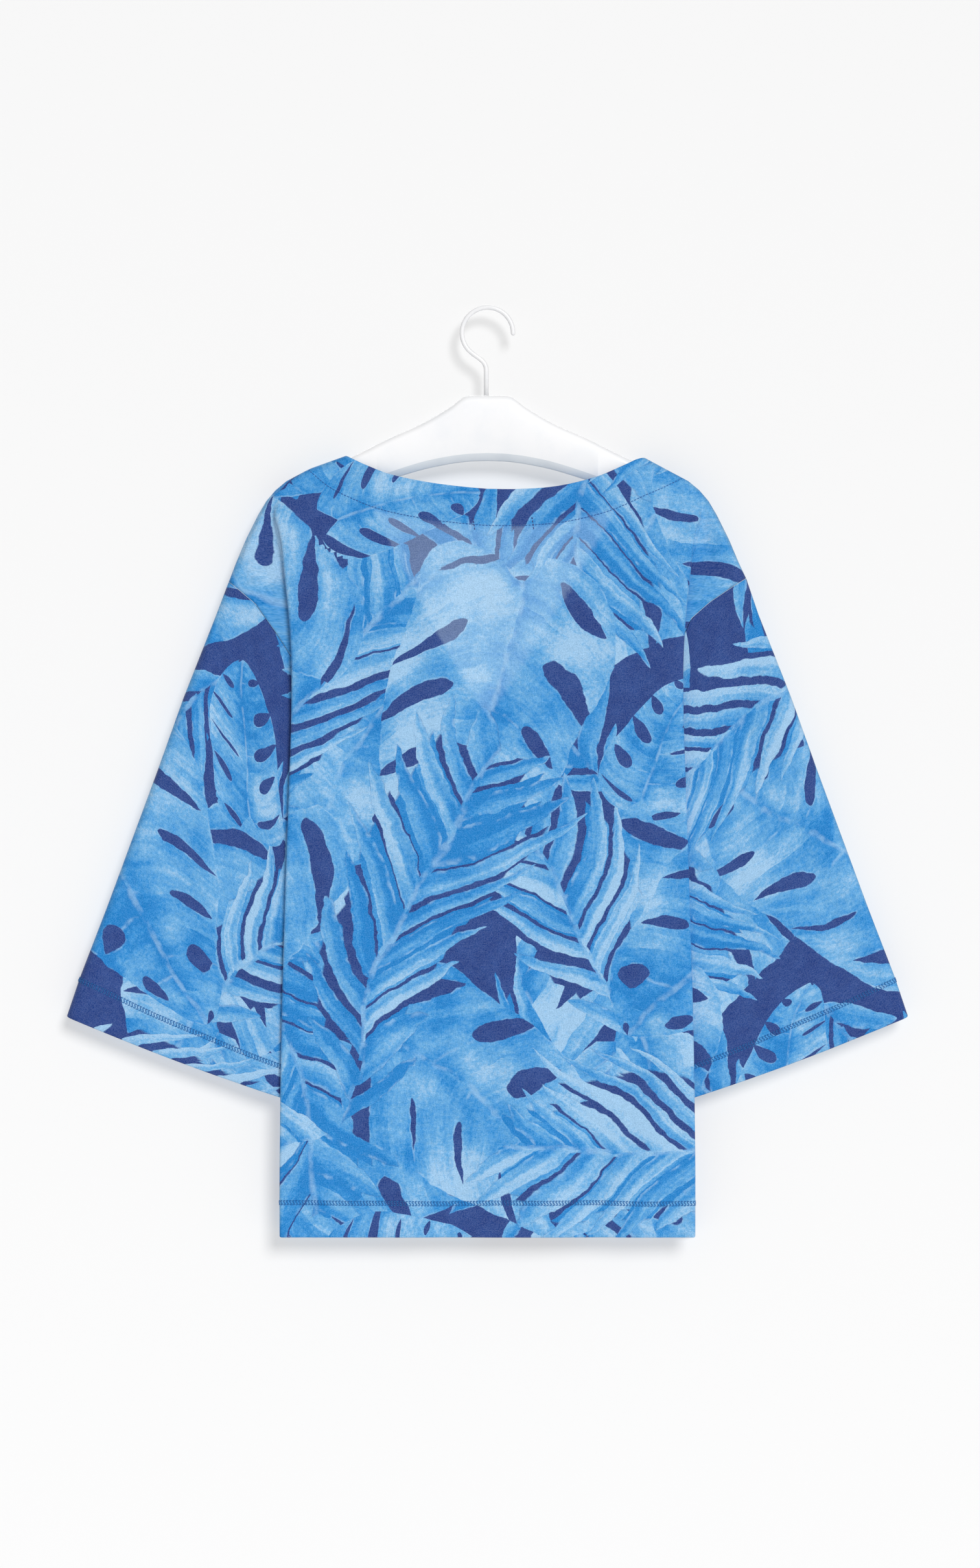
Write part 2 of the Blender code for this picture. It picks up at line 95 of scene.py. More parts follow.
# %% [markdown]
# ## The pattern pieces
#
# A sewing pattern is a set of measurements, and so is this one. The first table cells hold the sizes
# of the cut, in millimetres from the top of the hook. The two body panels share them, and only the
# neckline differs. These are the same sizes as the plain solids have, so the fine cloth lies exactly
# where they are.

# %% Sizes of the body
FACING = {"back": -1.0, "front": 1.0}      # which way each panel faces along Y
SIDE_SEAM_DEPTH = 0.2
SHOULDER_SEAM_DEPTH = 0.47
HEM_HEIGHT = -760.5
UNDERARM_HEIGHT = -400.7
UNDERARM_REACH = 75.4
V_NECK_HEIGHT = -334.0
V_NECK_CURVE = 1.12
BODY_DEPTH = 13.4          # of the outer layer, from the plane between front and back
PLEAT_DEPTH = 9.4          # of the layer that turns back under it
SLEEVE_DEPTH = 5.4         # of the sleeve and the dropped shoulder
ARMHOLE_LENGTH = 223.0
HANGER_COVER_DEPTH = 8.0   # of the cloth where it wraps the hanger's arms
SHOULDER_ROUND = 8.0
BODY_FILL_HEIGHT = 35.0    # below a shoulder, where the body reaches its full depth
UNDERARM_ROUND = 20.0
RIDGE_SLOPE = 0.42
SHOULDER_ROUND_SHARE = 0.032
SMALLEST_GAP = 0.001

Point = namedtuple("Point", "reach height")
NECK_POINT = {-1: Point(116.2, -120.5), 1: Point(129.0, -122.1)}

NeckRow = namedtuple("NeckRow", "share left right")
BACK_NECKLINE = (
    NeckRow(0.00, -148.3, -148.3),
    NeckRow(0.20, -146.2, -148.4),
    NeckRow(0.45, -142.2, -145.8),
    NeckRow(0.70, -135.8, -138.0),
    NeckRow(0.85, -128.8, -129.6),
    NeckRow(0.95, -123.4, -123.6),
    NeckRow(1.00, -120.5, -122.1),
)
SHOULDER_EDGE = (
    Point(146.0, -131.2),
    Point(165.0, -141.3),
    Point(174.0, -148.8),
    Point(181.5, -157.6),
    Point(188.2, -169.0),
    Point(198.4, -189.5),
    Point(206.4, -208.5),
)
ARMHOLE = {
    -1: (
        Point(212.3, -224.0),
        Point(204.8, -229.8),
        Point(190.5, -242.0),
        Point(173.5, -265.9),
        Point(160.8, -285.5),
        Point(UNDERARM_REACH, UNDERARM_HEIGHT),
    ),
    1: (
        Point(212.3, -221.0),
        Point(200.5, -228.4),
        Point(182.4, -240.6),
        Point(167.2, -254.1),
        Point(158.9, -272.5),
        Point(UNDERARM_REACH, UNDERARM_HEIGHT),
    ),
}
PleatRow = namedtuple("PleatRow", "height fold valley")
PLEAT = (
    PleatRow(-144.0, 169.0, 182.5),
    PleatRow(-157.6, 173.8, 182.0),
    PleatRow(-168.0, 174.4, 179.8),
    PleatRow(-180.0, 171.4, 174.4),
    PleatRow(-195.0, 168.4, 166.4),
    PleatRow(-218.0, 166.0, 155.0),
    PleatRow(-250.0, 162.6, 140.2),
    PleatRow(-285.0, 160.4, 125.0),
    PleatRow(-330.0, 160.3, 105.6),
    PleatRow(-374.0, 161.6, 86.6),
    PleatRow(-400.7, 162.6, 75.4),
    PleatRow(-409.0, 162.9, 72.4),
    PleatRow(-480.0, 165.3, 73.4),
    PleatRow(-590.0, 168.4, 76.0),
    PleatRow(-700.0, 169.9, 79.0),
    PleatRow(-760.5, 169.9, 80.0),
)
print("half width at the hem:", PLEAT[-1].fold, "mm")

# %% Sizes of the sleeves
SLEEVE_CROWN = (
    Point(222.6, -251.0),
    Point(249.6, -319.5),
    Point(271.2, -380.0),
    Point(312.2, -490.9),
    Point(334.6, -549.0),
    Point(345.2, -580.5),
)
CUFF_INNER = Point(137.5, -657.0)
CUFF_BOW = 3.0
SEAM_LOOK = 0.02           # share of the armhole on each side that tells the seam's direction
ARMHOLE_GAP = 0.36         # between sleeve and body
UNDERARM_GAP = 2.4
UNDERARM_START = 0.8       # share of the armhole where the gap starts to widen

# %% [markdown]
# ## Curves through the sizes
#
# A pattern cutter joins measured points with a curved ruler. `table_value` does the same between the
# rows of a table, and `at_share` walks along a seam to a share of its length.

# %% Curve helpers
def mix(start, end, share):
    return start + (end - start) * share


def ease(share):
    share = min(max(share, 0.0), 1.0)
    return share * share * (3.0 - 2.0 * share)


def table_value(rows, key, column, at):
    keys = [getattr(row, key) for row in rows]
    values = [getattr(row, column) for row in rows]
    if keys[0] > keys[-1]:
        keys.reverse()
        values.reverse()
    at = min(max(at, keys[0]), keys[-1])
    i = 0
    while i < len(keys) - 2 and at > keys[i + 1]:
        i += 1

    def slope(j):
        low = max(j - 1, 0)
        high = min(j + 1, len(keys) - 1)
        return (values[high] - values[low]) / (keys[high] - keys[low])

    step = keys[i + 1] - keys[i]
    t = (at - keys[i]) / step
    rise = values[i + 1] - values[i]
    bend_in = slope(i) * step - rise
    bend_out = rise - slope(i + 1) * step
    return mix(values[i], values[i + 1], t) + t * (1 - t) * ((1 - t) * bend_in + t * bend_out)


def at_share(rows, share):
    lengths = [math.dist(a, b) for a, b in zip(rows, rows[1:])]
    left = share * sum(lengths)
    i = 0
    while i < len(lengths) - 1 and left > lengths[i]:
        left -= lengths[i]
        i += 1
    t = left / lengths[i]
    return mix(rows[i][0], rows[i + 1][0], t), mix(rows[i][1], rows[i + 1][1], t)


def bezier_point(corners, t):
    weights = ((1 - t) ** 3, 3 * t * (1 - t) ** 2, 3 * t * t * (1 - t), t ** 3)
    return tuple(sum(weight * corner[i] for weight, corner in zip(weights, corners)) for i in (0, 1))


def rounded(share):
    share = min(max(share, 0.0), 1.0)
    return math.sqrt(1.0 - (1.0 - share) ** 2)


def line_height(rows, reach):
    for start, end in zip(rows, rows[1:]):
        if reach <= end.reach:
            break
    return mix(start.height, end.height, (reach - start.reach) / (end.reach - start.reach))


def shares(count, *extra):
    """Even shares from 0 to 1, with some extra ones where the cloth turns."""
    return sorted({round(i / count, 6) for i in range(count + 1)} | set(extra))


# %% [markdown]
# ## The body panels
#
# Each panel hangs from the shoulder, folds back under itself at the side and comes out again to the
# sleeve. Seen from above, one row of the cloth is a flat stretch, a fold, the pleat and the dropped
# shoulder. We could simulate this, but the blouse was arranged by hand, so its folds are placed one
# by one here too: every row is worked out from the tables, and a panel is about 160 of them.

# %% Depth of the cloth in front of and behind the hanger
def neckline_height(side, share, is_front):
    tip = NECK_POINT[side].height
    if is_front:
        return mix(V_NECK_HEIGHT, tip, share ** V_NECK_CURVE)
    return table_value(BACK_NECKLINE, "share", "left" if side < 0 else "right", share)


def body_depth(below_ridge):
    wrap = HANGER_COVER_DEPTH * rounded(below_ridge / SHOULDER_ROUND)
    fill = (below_ridge - SHOULDER_ROUND) / (BODY_FILL_HEIGHT - SHOULDER_ROUND)
    return max(wrap + (BODY_DEPTH - HANGER_COVER_DEPTH) * ease(fill), SHOULDER_SEAM_DEPTH)


def wing_depth(share):
    near_top = rounded(share / SHOULDER_ROUND_SHARE)
    near_seam = rounded((1.0 - share) * ARMHOLE_LENGTH / UNDERARM_ROUND)
    edge = SHOULDER_SEAM_DEPTH if share < 0.5 else SIDE_SEAM_DEPTH
    return max(SLEEVE_DEPTH * near_top * near_seam, edge)


def shoulder_line(side):
    tip = NECK_POINT[side]
    return [Point(tip.reach, tip.height), *SHOULDER_EDGE, ARMHOLE[side][0]]


print(f"20 mm below the shoulder the cloth lies {body_depth(20.0):.1f} mm from the middle")

# %% The flat part of a row, and the turns of the pleat
NECK_SHARES = shares(34, 0.985)
SHOULDER_STEPS = 10
TURN_STEPS = 7
PLEAT_STEPS = 16
WING_STEPS = 16
PLEAT_MARGIN = 6.0
WING_MARGIN_SHARE = 0.35
BEZIER_QUARTER = 0.552     # handle length of a quarter circle, as a share of its radius
VALLEY_PUSH = 0.75         # how far the valley's curve reaches towards the seam
PLEAT_START = 0.01
PLEAT_GROWTH = 0.08
EDGE_FADE = 3
OPENING_START = 0.72       # share of the way to the underarm where the pleat's bottom opens
OPENING_POWER = 1.3


def main_points(side, share, height_end, fold, is_front):
    tip = NECK_POINT[side]
    shoulder = shoulder_line(side)
    top_end = PLEAT[0].fold - PLEAT_MARGIN
    points = []
    across_neck = [tip.reach * across for across in NECK_SHARES]
    across_shoulder = [mix(tip.reach, top_end, i / SHOULDER_STEPS) for i in range(1, SHOULDER_STEPS + 1)]
    for reach in across_neck + across_shoulder:
        if reach <= tip.reach:
            top = neckline_height(side, reach / tip.reach, is_front)
            ridge = tip.height + (tip.reach - reach) * RIDGE_SLOPE
        else:
            top = line_height(shoulder, reach)
            ridge = top
        height = mix(top, height_end, share)
        squeeze = (fold - PLEAT_MARGIN) / top_end
        points.append((reach * squeeze, body_depth(ridge - height), height))
    return points


def respaced(points, weight):
    """The points of a path, moved along it towards even spacing; weight 1 leaves them as they are."""
    runs = [0.0]
    for a, b in zip(points, points[1:]):
        runs.append(runs[-1] + math.dist(a, b))
    total = runs[-1]
    moved = []
    for i in range(len(points)):
        run = mix(total * i / (len(points) - 1), runs[i], weight)
        j = 0
        while j < len(runs) - 2 and run > runs[j + 1]:
            j += 1
        length = runs[j + 1] - runs[j]
        t = (run - runs[j]) / length if length > 0 else 0.0
        moved.append((mix(points[j][0], points[j + 1][0], t), mix(points[j][1], points[j + 1][1], t)))
    return moved


def turn_points(reach, depth, radius, first_angle, last_angle):
    angles = [mix(first_angle, last_angle, i / TURN_STEPS) for i in range(TURN_STEPS + 1)]
    return [(reach + radius * math.sin(a), depth + radius * math.cos(a)) for a in angles]


def pleat_path(start, fold, valley, end, outer, inner):
    radius = (outer - inner) / 4.0
    gap = max(valley - fold + 2.0 * radius, SMALLEST_GAP)
    turn = 2.0 * math.atan(2.0 * radius / gap)
    path = [(start, outer)]
    path += turn_points(fold - radius, outer - radius, radius, 0.0, turn)
    back = turn_points(valley + radius, inner + radius, -radius, turn, 0.0)
    left_fold = path[-1]
    for i in range(1, PLEAT_STEPS):
        t = i / PLEAT_STEPS
        path.append((mix(left_fold[0], back[0][0], t), mix(left_fold[1], back[0][1], t)))
    path += back
    path.append((end, inner))
    return respaced(path, turn / math.pi)


def valley_path(valley, seam, opening):
    round_size = PLEAT_DEPTH - SIDE_SEAM_DEPTH
    turn_size = 0.5 * (PLEAT_DEPTH - SLEEVE_DEPTH)
    first = (valley + mix(turn_size, round_size, opening), PLEAT_DEPTH)
    pull = mix(2.0 * turn_size, BEZIER_QUARTER * round_size, opening)
    push = mix(seam[0] - valley + VALLEY_PUSH * turn_size, BEZIER_QUARTER * round_size, opening)
    angle = 0.5 * math.pi * opening
    corners = (
        first,
        (first[0] - pull, first[1]),
        (seam[0] - push * math.cos(angle), seam[1] + push * math.sin(angle)),
        seam,
    )
    steps = TURN_STEPS + 1 + WING_STEPS
    return [bezier_point(corners, i / steps) for i in range(steps + 1)]


def open_pleat_path(start, fold, valley, seam, opening):
    radius = 0.25 * (BODY_DEPTH - SLEEVE_DEPTH)
    path = [(start, BODY_DEPTH)]
    path += turn_points(fold - radius, BODY_DEPTH - radius, radius, 0.0, math.pi)
    left_fold = path[-1][0]
    bottom = valley_path(valley, seam, opening)
    for i in range(1, PLEAT_STEPS):
        path.append((mix(left_fold, bottom[0][0], i / PLEAT_STEPS), PLEAT_DEPTH))
    return path + bottom


# %% One row of a panel
def upper_row(side, share, is_front):
    """From the centre to the armhole seam, as (reach, depth, height)."""
    shoulder = shoulder_line(side)
    fold_top = line_height(shoulder, PLEAT[0].fold)
    valley_top = line_height(shoulder, PLEAT[0].valley)
    valley_height = mix(valley_top, UNDERARM_HEIGHT, share)
    fold = table_value(PLEAT, "height", "fold", mix(fold_top, UNDERARM_HEIGHT, share))
    valley = table_value(PLEAT, "height", "valley", valley_height)
    if share == 0.0:
        fold = PLEAT[0].fold
        valley = PLEAT[0].valley
    seam_reach, seam_height = at_share(ARMHOLE[side], share)
    inner = wing_depth(share)
    main = main_points(side, share, UNDERARM_HEIGHT, fold, is_front)
    outer = main[-1][1]
    inner_turn = mix(outer, SLEEVE_DEPTH, ease((share - PLEAT_START) / PLEAT_GROWTH))
    inner_turn = min(inner_turn, outer - SMALLEST_GAP)
    wing_start = valley + WING_MARGIN_SHARE * (seam_reach - valley)
    if share < OPENING_START:
        path = pleat_path(main[-1][0], fold, valley, wing_start, outer, inner_turn)
        for i in range(1, WING_STEPS + 1):
            t = i / WING_STEPS
            path.append((mix(wing_start, seam_reach, t), mix(inner_turn, inner, ease(t))))
    else:
        opening = ((share - OPENING_START) / (1.0 - OPENING_START)) ** OPENING_POWER
        path = open_pleat_path(main[-1][0], fold, valley, (seam_reach, inner), opening)

    edge_fade = (1.0 - share) ** EDGE_FADE
    seam_top = ARMHOLE[side][0]
    edge_start_reach = PLEAT[0].fold - PLEAT_MARGIN
    edge_start = Point(edge_start_reach, line_height(shoulder, edge_start_reach))
    edge_middle_reach = mix(PLEAT[0].valley, seam_top.reach, WING_MARGIN_SHARE)
    edge_middle = Point(edge_middle_reach, line_height(shoulder, edge_middle_reach))
    middle_height = mix(valley_height, seam_height, WING_MARGIN_SHARE)
    middle_height = mix(middle_height, edge_middle.height - (valley_top - valley_height), edge_fade)
    points = list(main)
    turns = len(path) - 1 - WING_STEPS
    for i, (reach, depth) in enumerate(path[1:], start=1):
        if i <= turns:
            t = i / turns
            low, high, height = edge_start, edge_middle, mix(main[-1][2], middle_height, t)
        else:
            t = (i - turns) / WING_STEPS
            low, high, height = edge_middle, seam_top, mix(middle_height, seam_height, t)
        bow = line_height(shoulder, mix(low.reach, high.reach, t)) - mix(low.height, high.height, t)
        points.append((reach, depth, height + bow * edge_fade))
    return points


def lower_row(side, height, is_front):
    """From the centre to the side seam, at a height below the underarm."""
    fold = table_value(PLEAT, "height", "fold", height)
    valley = table_value(PLEAT, "height", "valley", height)
    main = main_points(side, 1.0, height, fold, is_front)
    path = open_pleat_path(main[-1][0], fold, valley, (valley, SIDE_SEAM_DEPTH), 1.0)
    return main + [(reach, depth, height) for reach, depth in path[1:]]


print("points in half a row:", len(upper_row(1, 0.5, False)))

# %% [markdown]
# ## Turned hems
#
# A hem is the panel's own edge, folded to the inside and sewn down. We let the rows run on past the
# edge, round a tiny turn and up again on the inside. From below, the hem then has a real soft edge
# of two layers.

# %% Rows of a whole panel
HEM_DEPTH = 27.0           # of the turned edge
HEM_TURN = 0.75            # half the distance between its two layers
TURNED_STEPS = 5
TURN_ANGLES = (45, 90, 135)
UPPER_SHARES = shares(62, 0.0028, 0.006, 0.0105, 0.0146, 0.022, 0.026, 0.04)
HEM_ROW = HEM_HEIGHT + HEM_DEPTH
LAST_ROW = HEM_ROW - 4.0
LOWER_ROWS = 74
HEM_ROWS = 7
LOWER_HEIGHTS = sorted(
    {mix(UNDERARM_HEIGHT, LAST_ROW, i / LOWER_ROWS) for i in range(1, LOWER_ROWS + 1)}
    | {mix(HEM_ROW, HEM_HEIGHT, i / HEM_ROWS) for i in range(HEM_ROWS + 1)}, reverse=True)


def whole_row(half_row, at, facing):
    left = half_row(-1, at, facing > 0)
    right = half_row(1, at, facing > 0)
    row = [(-reach, facing * depth, height) for reach, depth, height in reversed(left)]
    return np.array(row + [(reach, facing * depth, height) for reach, depth, height in right[1:]])


def inward(row, facing):
    """Directions across a row's cloth to its inside, level with the ground."""
    run = np.gradient(row, axis=0)
    across = np.stack([run[:, 1], -run[:, 0], np.zeros(len(row))], axis=1)
    return across * facing / np.linalg.norm(across, axis=1, keepdims=True)


def turned_hem(last, row_at, facing):
    """Rows round the hem's turn and up the inside."""
    rows = []
    inside = inward(last, facing)
    for degrees in TURN_ANGLES:
        angle = math.radians(degrees)
        moved = last + inside * HEM_TURN * (1.0 - math.cos(angle))
        moved[:, 2] -= HEM_TURN * math.sin(angle)
        rows.append(moved)
    for i in range(TURNED_STEPS + 1):
        row = row_at(HEM_HEIGHT + HEM_DEPTH * i / TURNED_STEPS)
        rows.append(row + inward(row, facing) * 2.0 * HEM_TURN)
    return rows


def panel_grid(facing):
    rows = [whole_row(upper_row, share, facing) for share in UPPER_SHARES]
    rows += [whole_row(lower_row, height, facing) for height in LOWER_HEIGHTS]
    rows += turned_hem(rows[-1], lambda height: whole_row(lower_row, height, facing), facing)
    return np.array(rows)


panels = {name: panel_grid(facing) for name, facing in FACING.items()}
print("rows and columns of a panel:", panels["back"].shape[:2])

# %% [markdown]
# ## The sleeves
#
# A sleeve is a tube that hangs flat: two layers that meet at the crown fold outside and at the seam
# inside. It starts along the armhole and gets wider to the cuff, which is turned in like the hem.

# %% Rings of a sleeve
SLEEVE_SIDES = {"sleeve_left": -1, "sleeve_right": 1}
SLEEVE_SHARES = shares(86, 0.0015, 0.0035, 0.007)
RING_SHARES = shares(60, 0.0028, 0.0080, 0.0146, 0.022, 0.04, 0.06, 0.94, 0.97, 0.99)


def armhole_start(side, share):
    reach, height = at_share(ARMHOLE[side], share)
    before = at_share(ARMHOLE[side], max(share - SEAM_LOOK, 0.0))
    after = at_share(ARMHOLE[side], min(share + SEAM_LOOK, 1.0))
    run = math.dist(before, after)
    across = (-(after[1] - before[1]) / run, (after[0] - before[0]) / run)
    widen = ease((share - UNDERARM_START) / (1.0 - UNDERARM_START))
    gap = mix(ARMHOLE_GAP, UNDERARM_GAP, widen)
    return reach + across[0] * gap, height + across[1] * gap


def sleeve_ring(side, along):
    crown_line = [armhole_start(side, 0.0), *SLEEVE_CROWN]
    seam_line = [armhole_start(side, 1.0), CUFF_INNER]
    crown = at_share(crown_line, along)
    seam = at_share(seam_line, along)
    fade = (1.0 - along) ** EDGE_FADE
    layer = []
    for share in RING_SHARES:
        start = armhole_start(side, share)
        straight = [mix(crown_line[0][axis], seam_line[0][axis], share) for axis in (0, 1)]
        cuff_bow = CUFF_BOW * along * math.sin(math.pi * share)
        reach = mix(crown[0], seam[0], share) + (start[0] - straight[0]) * fade
        height = mix(crown[1], seam[1], share) + (start[1] - straight[1]) * fade - cuff_bow
        layer.append((side * reach, wing_depth(share), height))
    ends = [(x, 0.0, z) for x, _, z in (layer[0], layer[-1])]
    back = [(x, -depth, z) for x, depth, z in layer[1:-1]]
    front = [(x, depth, z) for x, depth, z in reversed(layer[1:-1])]
    return np.array([ends[0], *back, ends[1], *front])


def sleeve_grid(side):
    rings = [sleeve_ring(side, along) for along in SLEEVE_SHARES]
    edge = rings[-1]
    down = edge - rings[-2]
    down /= np.linalg.norm(down, axis=1, keepdims=True)
    around = np.roll(edge, -1, axis=0) - np.roll(edge, 1, axis=0)
    inside = np.cross(around, down) * side
    inside /= np.linalg.norm(inside, axis=1, keepdims=True)
    inside *= np.where(np.sum(inside[:, 1] * edge[:, 1]) > 0, -1.0, 1.0)
    for degrees in TURN_ANGLES:
        angle = math.radians(degrees)
        rings.append(edge + inside * HEM_TURN * (1 - math.cos(angle)) + down * HEM_TURN * math.sin(angle))
    for i in range(TURNED_STEPS + 1):
        rings.append(edge + inside * 2.0 * HEM_TURN - down * HEM_DEPTH * i / TURNED_STEPS)
    return np.array(rings)


sleeves = {name: sleeve_grid(side) for name, side in SLEEVE_SIDES.items()}
print("rings and points of a sleeve:", sleeves["sleeve_left"].shape[:2])

# %% [markdown]
# ## Flat cloth
#
# Print, grain and creases all follow the cloth and not the room. So each point is told where it lay
# when the piece was flat on the cutting table: how far along the row from the centre, and how high.
# On a sleeve the middle line of the cut is its crown fold.

# %% Where each point lay on the cutting table
def flat_panel(grid):
    """Flat place of each point of a panel, in millimetres across and up."""
    steps = np.linalg.norm(np.diff(grid[:, :, :2], axis=1), axis=2)
    run = np.concatenate([np.zeros((len(grid), 1)), np.cumsum(steps, axis=1)], axis=1)
    middle = grid.shape[1] // 2
    across = run - run[:, middle:middle + 1]
    up = grid[:, :, 2].copy()
    turned = len(TURN_ANGLES) + TURNED_STEPS + 1
    up[-turned:] = 2.0 * HEM_HEIGHT - up[-turned:]
    return np.stack([across, up], axis=2)


def flat_sleeve(grid):
    """Flat place of each point of a sleeve's back and front layer, as two arrays."""
    half = len(RING_SHARES)
    count = grid.shape[1]
    length = np.concatenate([[0.0], np.cumsum(np.linalg.norm(np.diff(grid[:, 0], axis=0), axis=1))])
    layers = []
    for order, sign in (([*range(half)], -1.0), ([0, *range(count - 1, half - 2, -1)], 1.0)):
        layer = grid[:, order]
        steps = np.linalg.norm(np.diff(layer, axis=1), axis=2)
        across = np.concatenate([np.zeros((len(grid), 1)), np.cumsum(steps, axis=1)], axis=1)
        up = np.repeat(-length[:, None], half, axis=1)
        layers.append((order, np.stack([sign * across, up], axis=2)))
    return layers


flat = {name: flat_panel(grid) for name, grid in panels.items()}
hem_edge = flat["back"][len(UPPER_SHARES) + LOWER_HEIGHTS.index(HEM_HEIGHT)]
print(f"a body panel is cut {np.ptp(hem_edge[:, 0]):.0f} mm wide at the hem")

# %% [markdown]
# ## Creases
#
# Pressed linen on a hanger is nearly flat. What is left are wide soft waves that fall from the
# shoulders and a few short creases beside the armholes. A cloth simulation gives too many of them.
# Each crease here is one row of a table: a line on the piece with its depth and width, uneven on
# purpose. The hidden side gets similar ones.

# %% Crease tables
Crease = namedtuple("Crease", "x0 z0 x1 z1 depth width")
BODY_CREASES = {
    "back": (
        Crease(-118, -190, -96, -420, 0.9, 20),
        Crease(-62, -230, -70, -610, -0.8, 26),
        Crease(-128, -470, -120, -770, 1.2, 24),
        Crease(-44, -520, -36, -775, 1.0, 22),
        Crease(8, -330, 22, -560, -0.7, 30),
        Crease(34, -600, 40, -775, -1.1, 20),
        Crease(88, -210, 66, -450, 0.9, 22),
        Crease(118, -400, 104, -640, 1.0, 24),
        Crease(96, -620, 92, -775, 1.3, 20),
        Crease(142, -190, 150, -380, -0.7, 14),
        Crease(-146, -220, -152, -400, -0.6, 13),
        Crease(-30, -176, -6, -262, 0.5, 12),
        Crease(52, -182, 30, -250, 0.5, 11),
        Crease(140, -560, 146, -770, -1.0, 15),
    ),
    "front": (
        Crease(-120, -200, -90, -460, 1.0, 22),
        Crease(-58, -360, -66, -640, -0.9, 24),
        Crease(-110, -520, -124, -775, 1.2, 23),
        Crease(-26, -540, -30, -775, 1.1, 20),
        Crease(26, -380, 12, -600, -0.8, 27),
        Crease(56, -590, 48, -775, -1.0, 22),
        Crease(104, -230, 74, -470, 1.0, 21),
        Crease(110, -430, 122, -690, 0.9, 25),
        Crease(84, -650, 80, -775, 1.2, 18),
        Crease(-144, -600, -148, -770, -0.9, 14),
    ),
}
SLEEVE_CREASES = {
    -1: (
        Crease(-216.5, -226, -219, -292, 1.5, 4.5),
        Crease(-206, -250, -226, -372, 0.9, 11),
        Crease(-236, -330, -282, -500, -0.9, 16),
        Crease(-196, -330, -228, -560, 1.1, 17),
        Crease(-262, -470, -300, -600, 1.0, 15),
        Crease(-176, -470, -186, -648, -1.0, 18),
        Crease(-224, -540, -238, -636, 0.9, 12),
        Crease(-172, -290, -178, -400, -0.8, 12),
    ),
    1: (
        Crease(214, -232, 222, -300, 1.1, 6),
        Crease(196, -262, 214, -360, 0.9, 12),
        Crease(232, -320, 276, -480, -0.9, 15),
        Crease(190, -340, 220, -540, 1.0, 18),
        Crease(258, -450, 304, -600, 1.1, 14),
        Crease(180, -480, 192, -640, -0.9, 17),
        Crease(232, -530, 250, -630, 0.8, 13),
        Crease(180, -300, 172, -390, -0.8, 11),
    ),
}
SHOULDER_CREASES = (
    Crease(198, -199, 200.5, -231, 1.1, 4),
    Crease(-196, -196, -203, -226, 0.7, 5),
    Crease(184, -182, 176, -232, 0.6, 7),
    Crease(-186, -186, -174, -240, 0.7, 7),
)
CREASE_FADE = 0.30         # share of a crease's length over which it dies out
CREASE_BEND = 0.06         # how far a crease swings off its line, as a share of its length
WAVES = ((61.0, 0.35, 0.4), (37.0, 0.16, 1.9), (143.0, 0.35, 2.7))   # length, depth, start
WAVE_SLANT = 0.18
WAVE_SWING = (0.6, 97.0)   # how much and how fast the waves wander on their way down
SLEEVE_WAVES = 0.7         # share of the body's waves that the sleeves have
SLEEVE_SHIFT = 31.0        # between the waves of the body and of a sleeve
STIFF_RINGS = 8.0          # of a sleeve that its armhole seam keeps in shape


# %% Press the creases into the cloth
def fade_in(value, start, width):
    """0 up to a start, then evenly up to 1."""
    return np.clip((value - start) / width, 0.0, 1.0)


def crease_depth(x, z, crease):
    """How far a crease moves each point to the cloth's inside."""
    along = np.array([crease.x1 - crease.x0, crease.z1 - crease.z0], dtype=float)
    length = np.hypot(*along)
    along /= length
    run = ((x - crease.x0) * along[0] + (z - crease.z0) * along[1]) / length
    off = (x - crease.x0) * along[1] - (z - crease.z0) * along[0]
    off = off + CREASE_BEND * length * np.sin(3.0 * run + crease.x0)
    ends = fade_in(np.minimum(run, 1.0 - run), -0.5 * CREASE_FADE, CREASE_FADE)
    ends = ends * ends * (3 - 2 * ends)
    return crease.depth * ends * np.exp(-(off / crease.width) ** 2)


def waves(x, z):
    """Wide shallow unevenness that all hanging cloth has."""
    swing = WAVE_SWING[0] * np.sin(z / WAVE_SWING[1])
    return sum(depth * np.sin((x + WAVE_SLANT * z) / length * 2.0 * math.pi + start + swing)
               for length, depth, start in WAVES)


def crease_panel(grid, name):
    """Crease the outer layer of the body below the hanger, and the dropped shoulders beside it."""
    x, y, z = grid[:, :, 0], grid[:, :, 1], grid[:, :, 2]
    depth = np.abs(y)
    inside = sum(crease_depth(x, z, crease) for crease in BODY_CREASES[name]) + waves(x, z)
    body_part = fade_in(depth, PLEAT_DEPTH + 0.5, 3.0) * fade_in(-z, 165.0, 60.0)
    wings = sum(crease_depth(x, z, crease) for crease in SHOULDER_CREASES)
    wing_part = fade_in(-depth, -SLEEVE_DEPTH - 0.5, 0.4) * fade_in(np.abs(x), 166.0, 8.0)
    y -= FACING[name] * (inside * body_part + wings * wing_part * fade_in(depth, 0.0, 4.0))


def crease_sleeve(grid, side):
    x, y, z = grid[:, :, 0], grid[:, :, 1], grid[:, :, 2]
    inside = sum(crease_depth(x, z, crease) for crease in SLEEVE_CREASES[side])
    inside = inside + SLEEVE_WAVES * waves(x + SLEEVE_SHIFT, z)
    from_seam = np.clip(np.arange(len(grid))[:, None] / STIFF_RINGS, 0.15, 1.0)
    y -= np.sign(y) * inside * from_seam * fade_in(np.abs(y), 0.0, 5.0) ** 2


for name, grid in panels.items():
    crease_panel(grid, name)
for name, grid in sleeves.items():
    crease_sleeve(grid, SLEEVE_SIDES[name])
print("creases:", sum(len(rows) for rows in (*BODY_CREASES.values(), *SLEEVE_CREASES.values())))

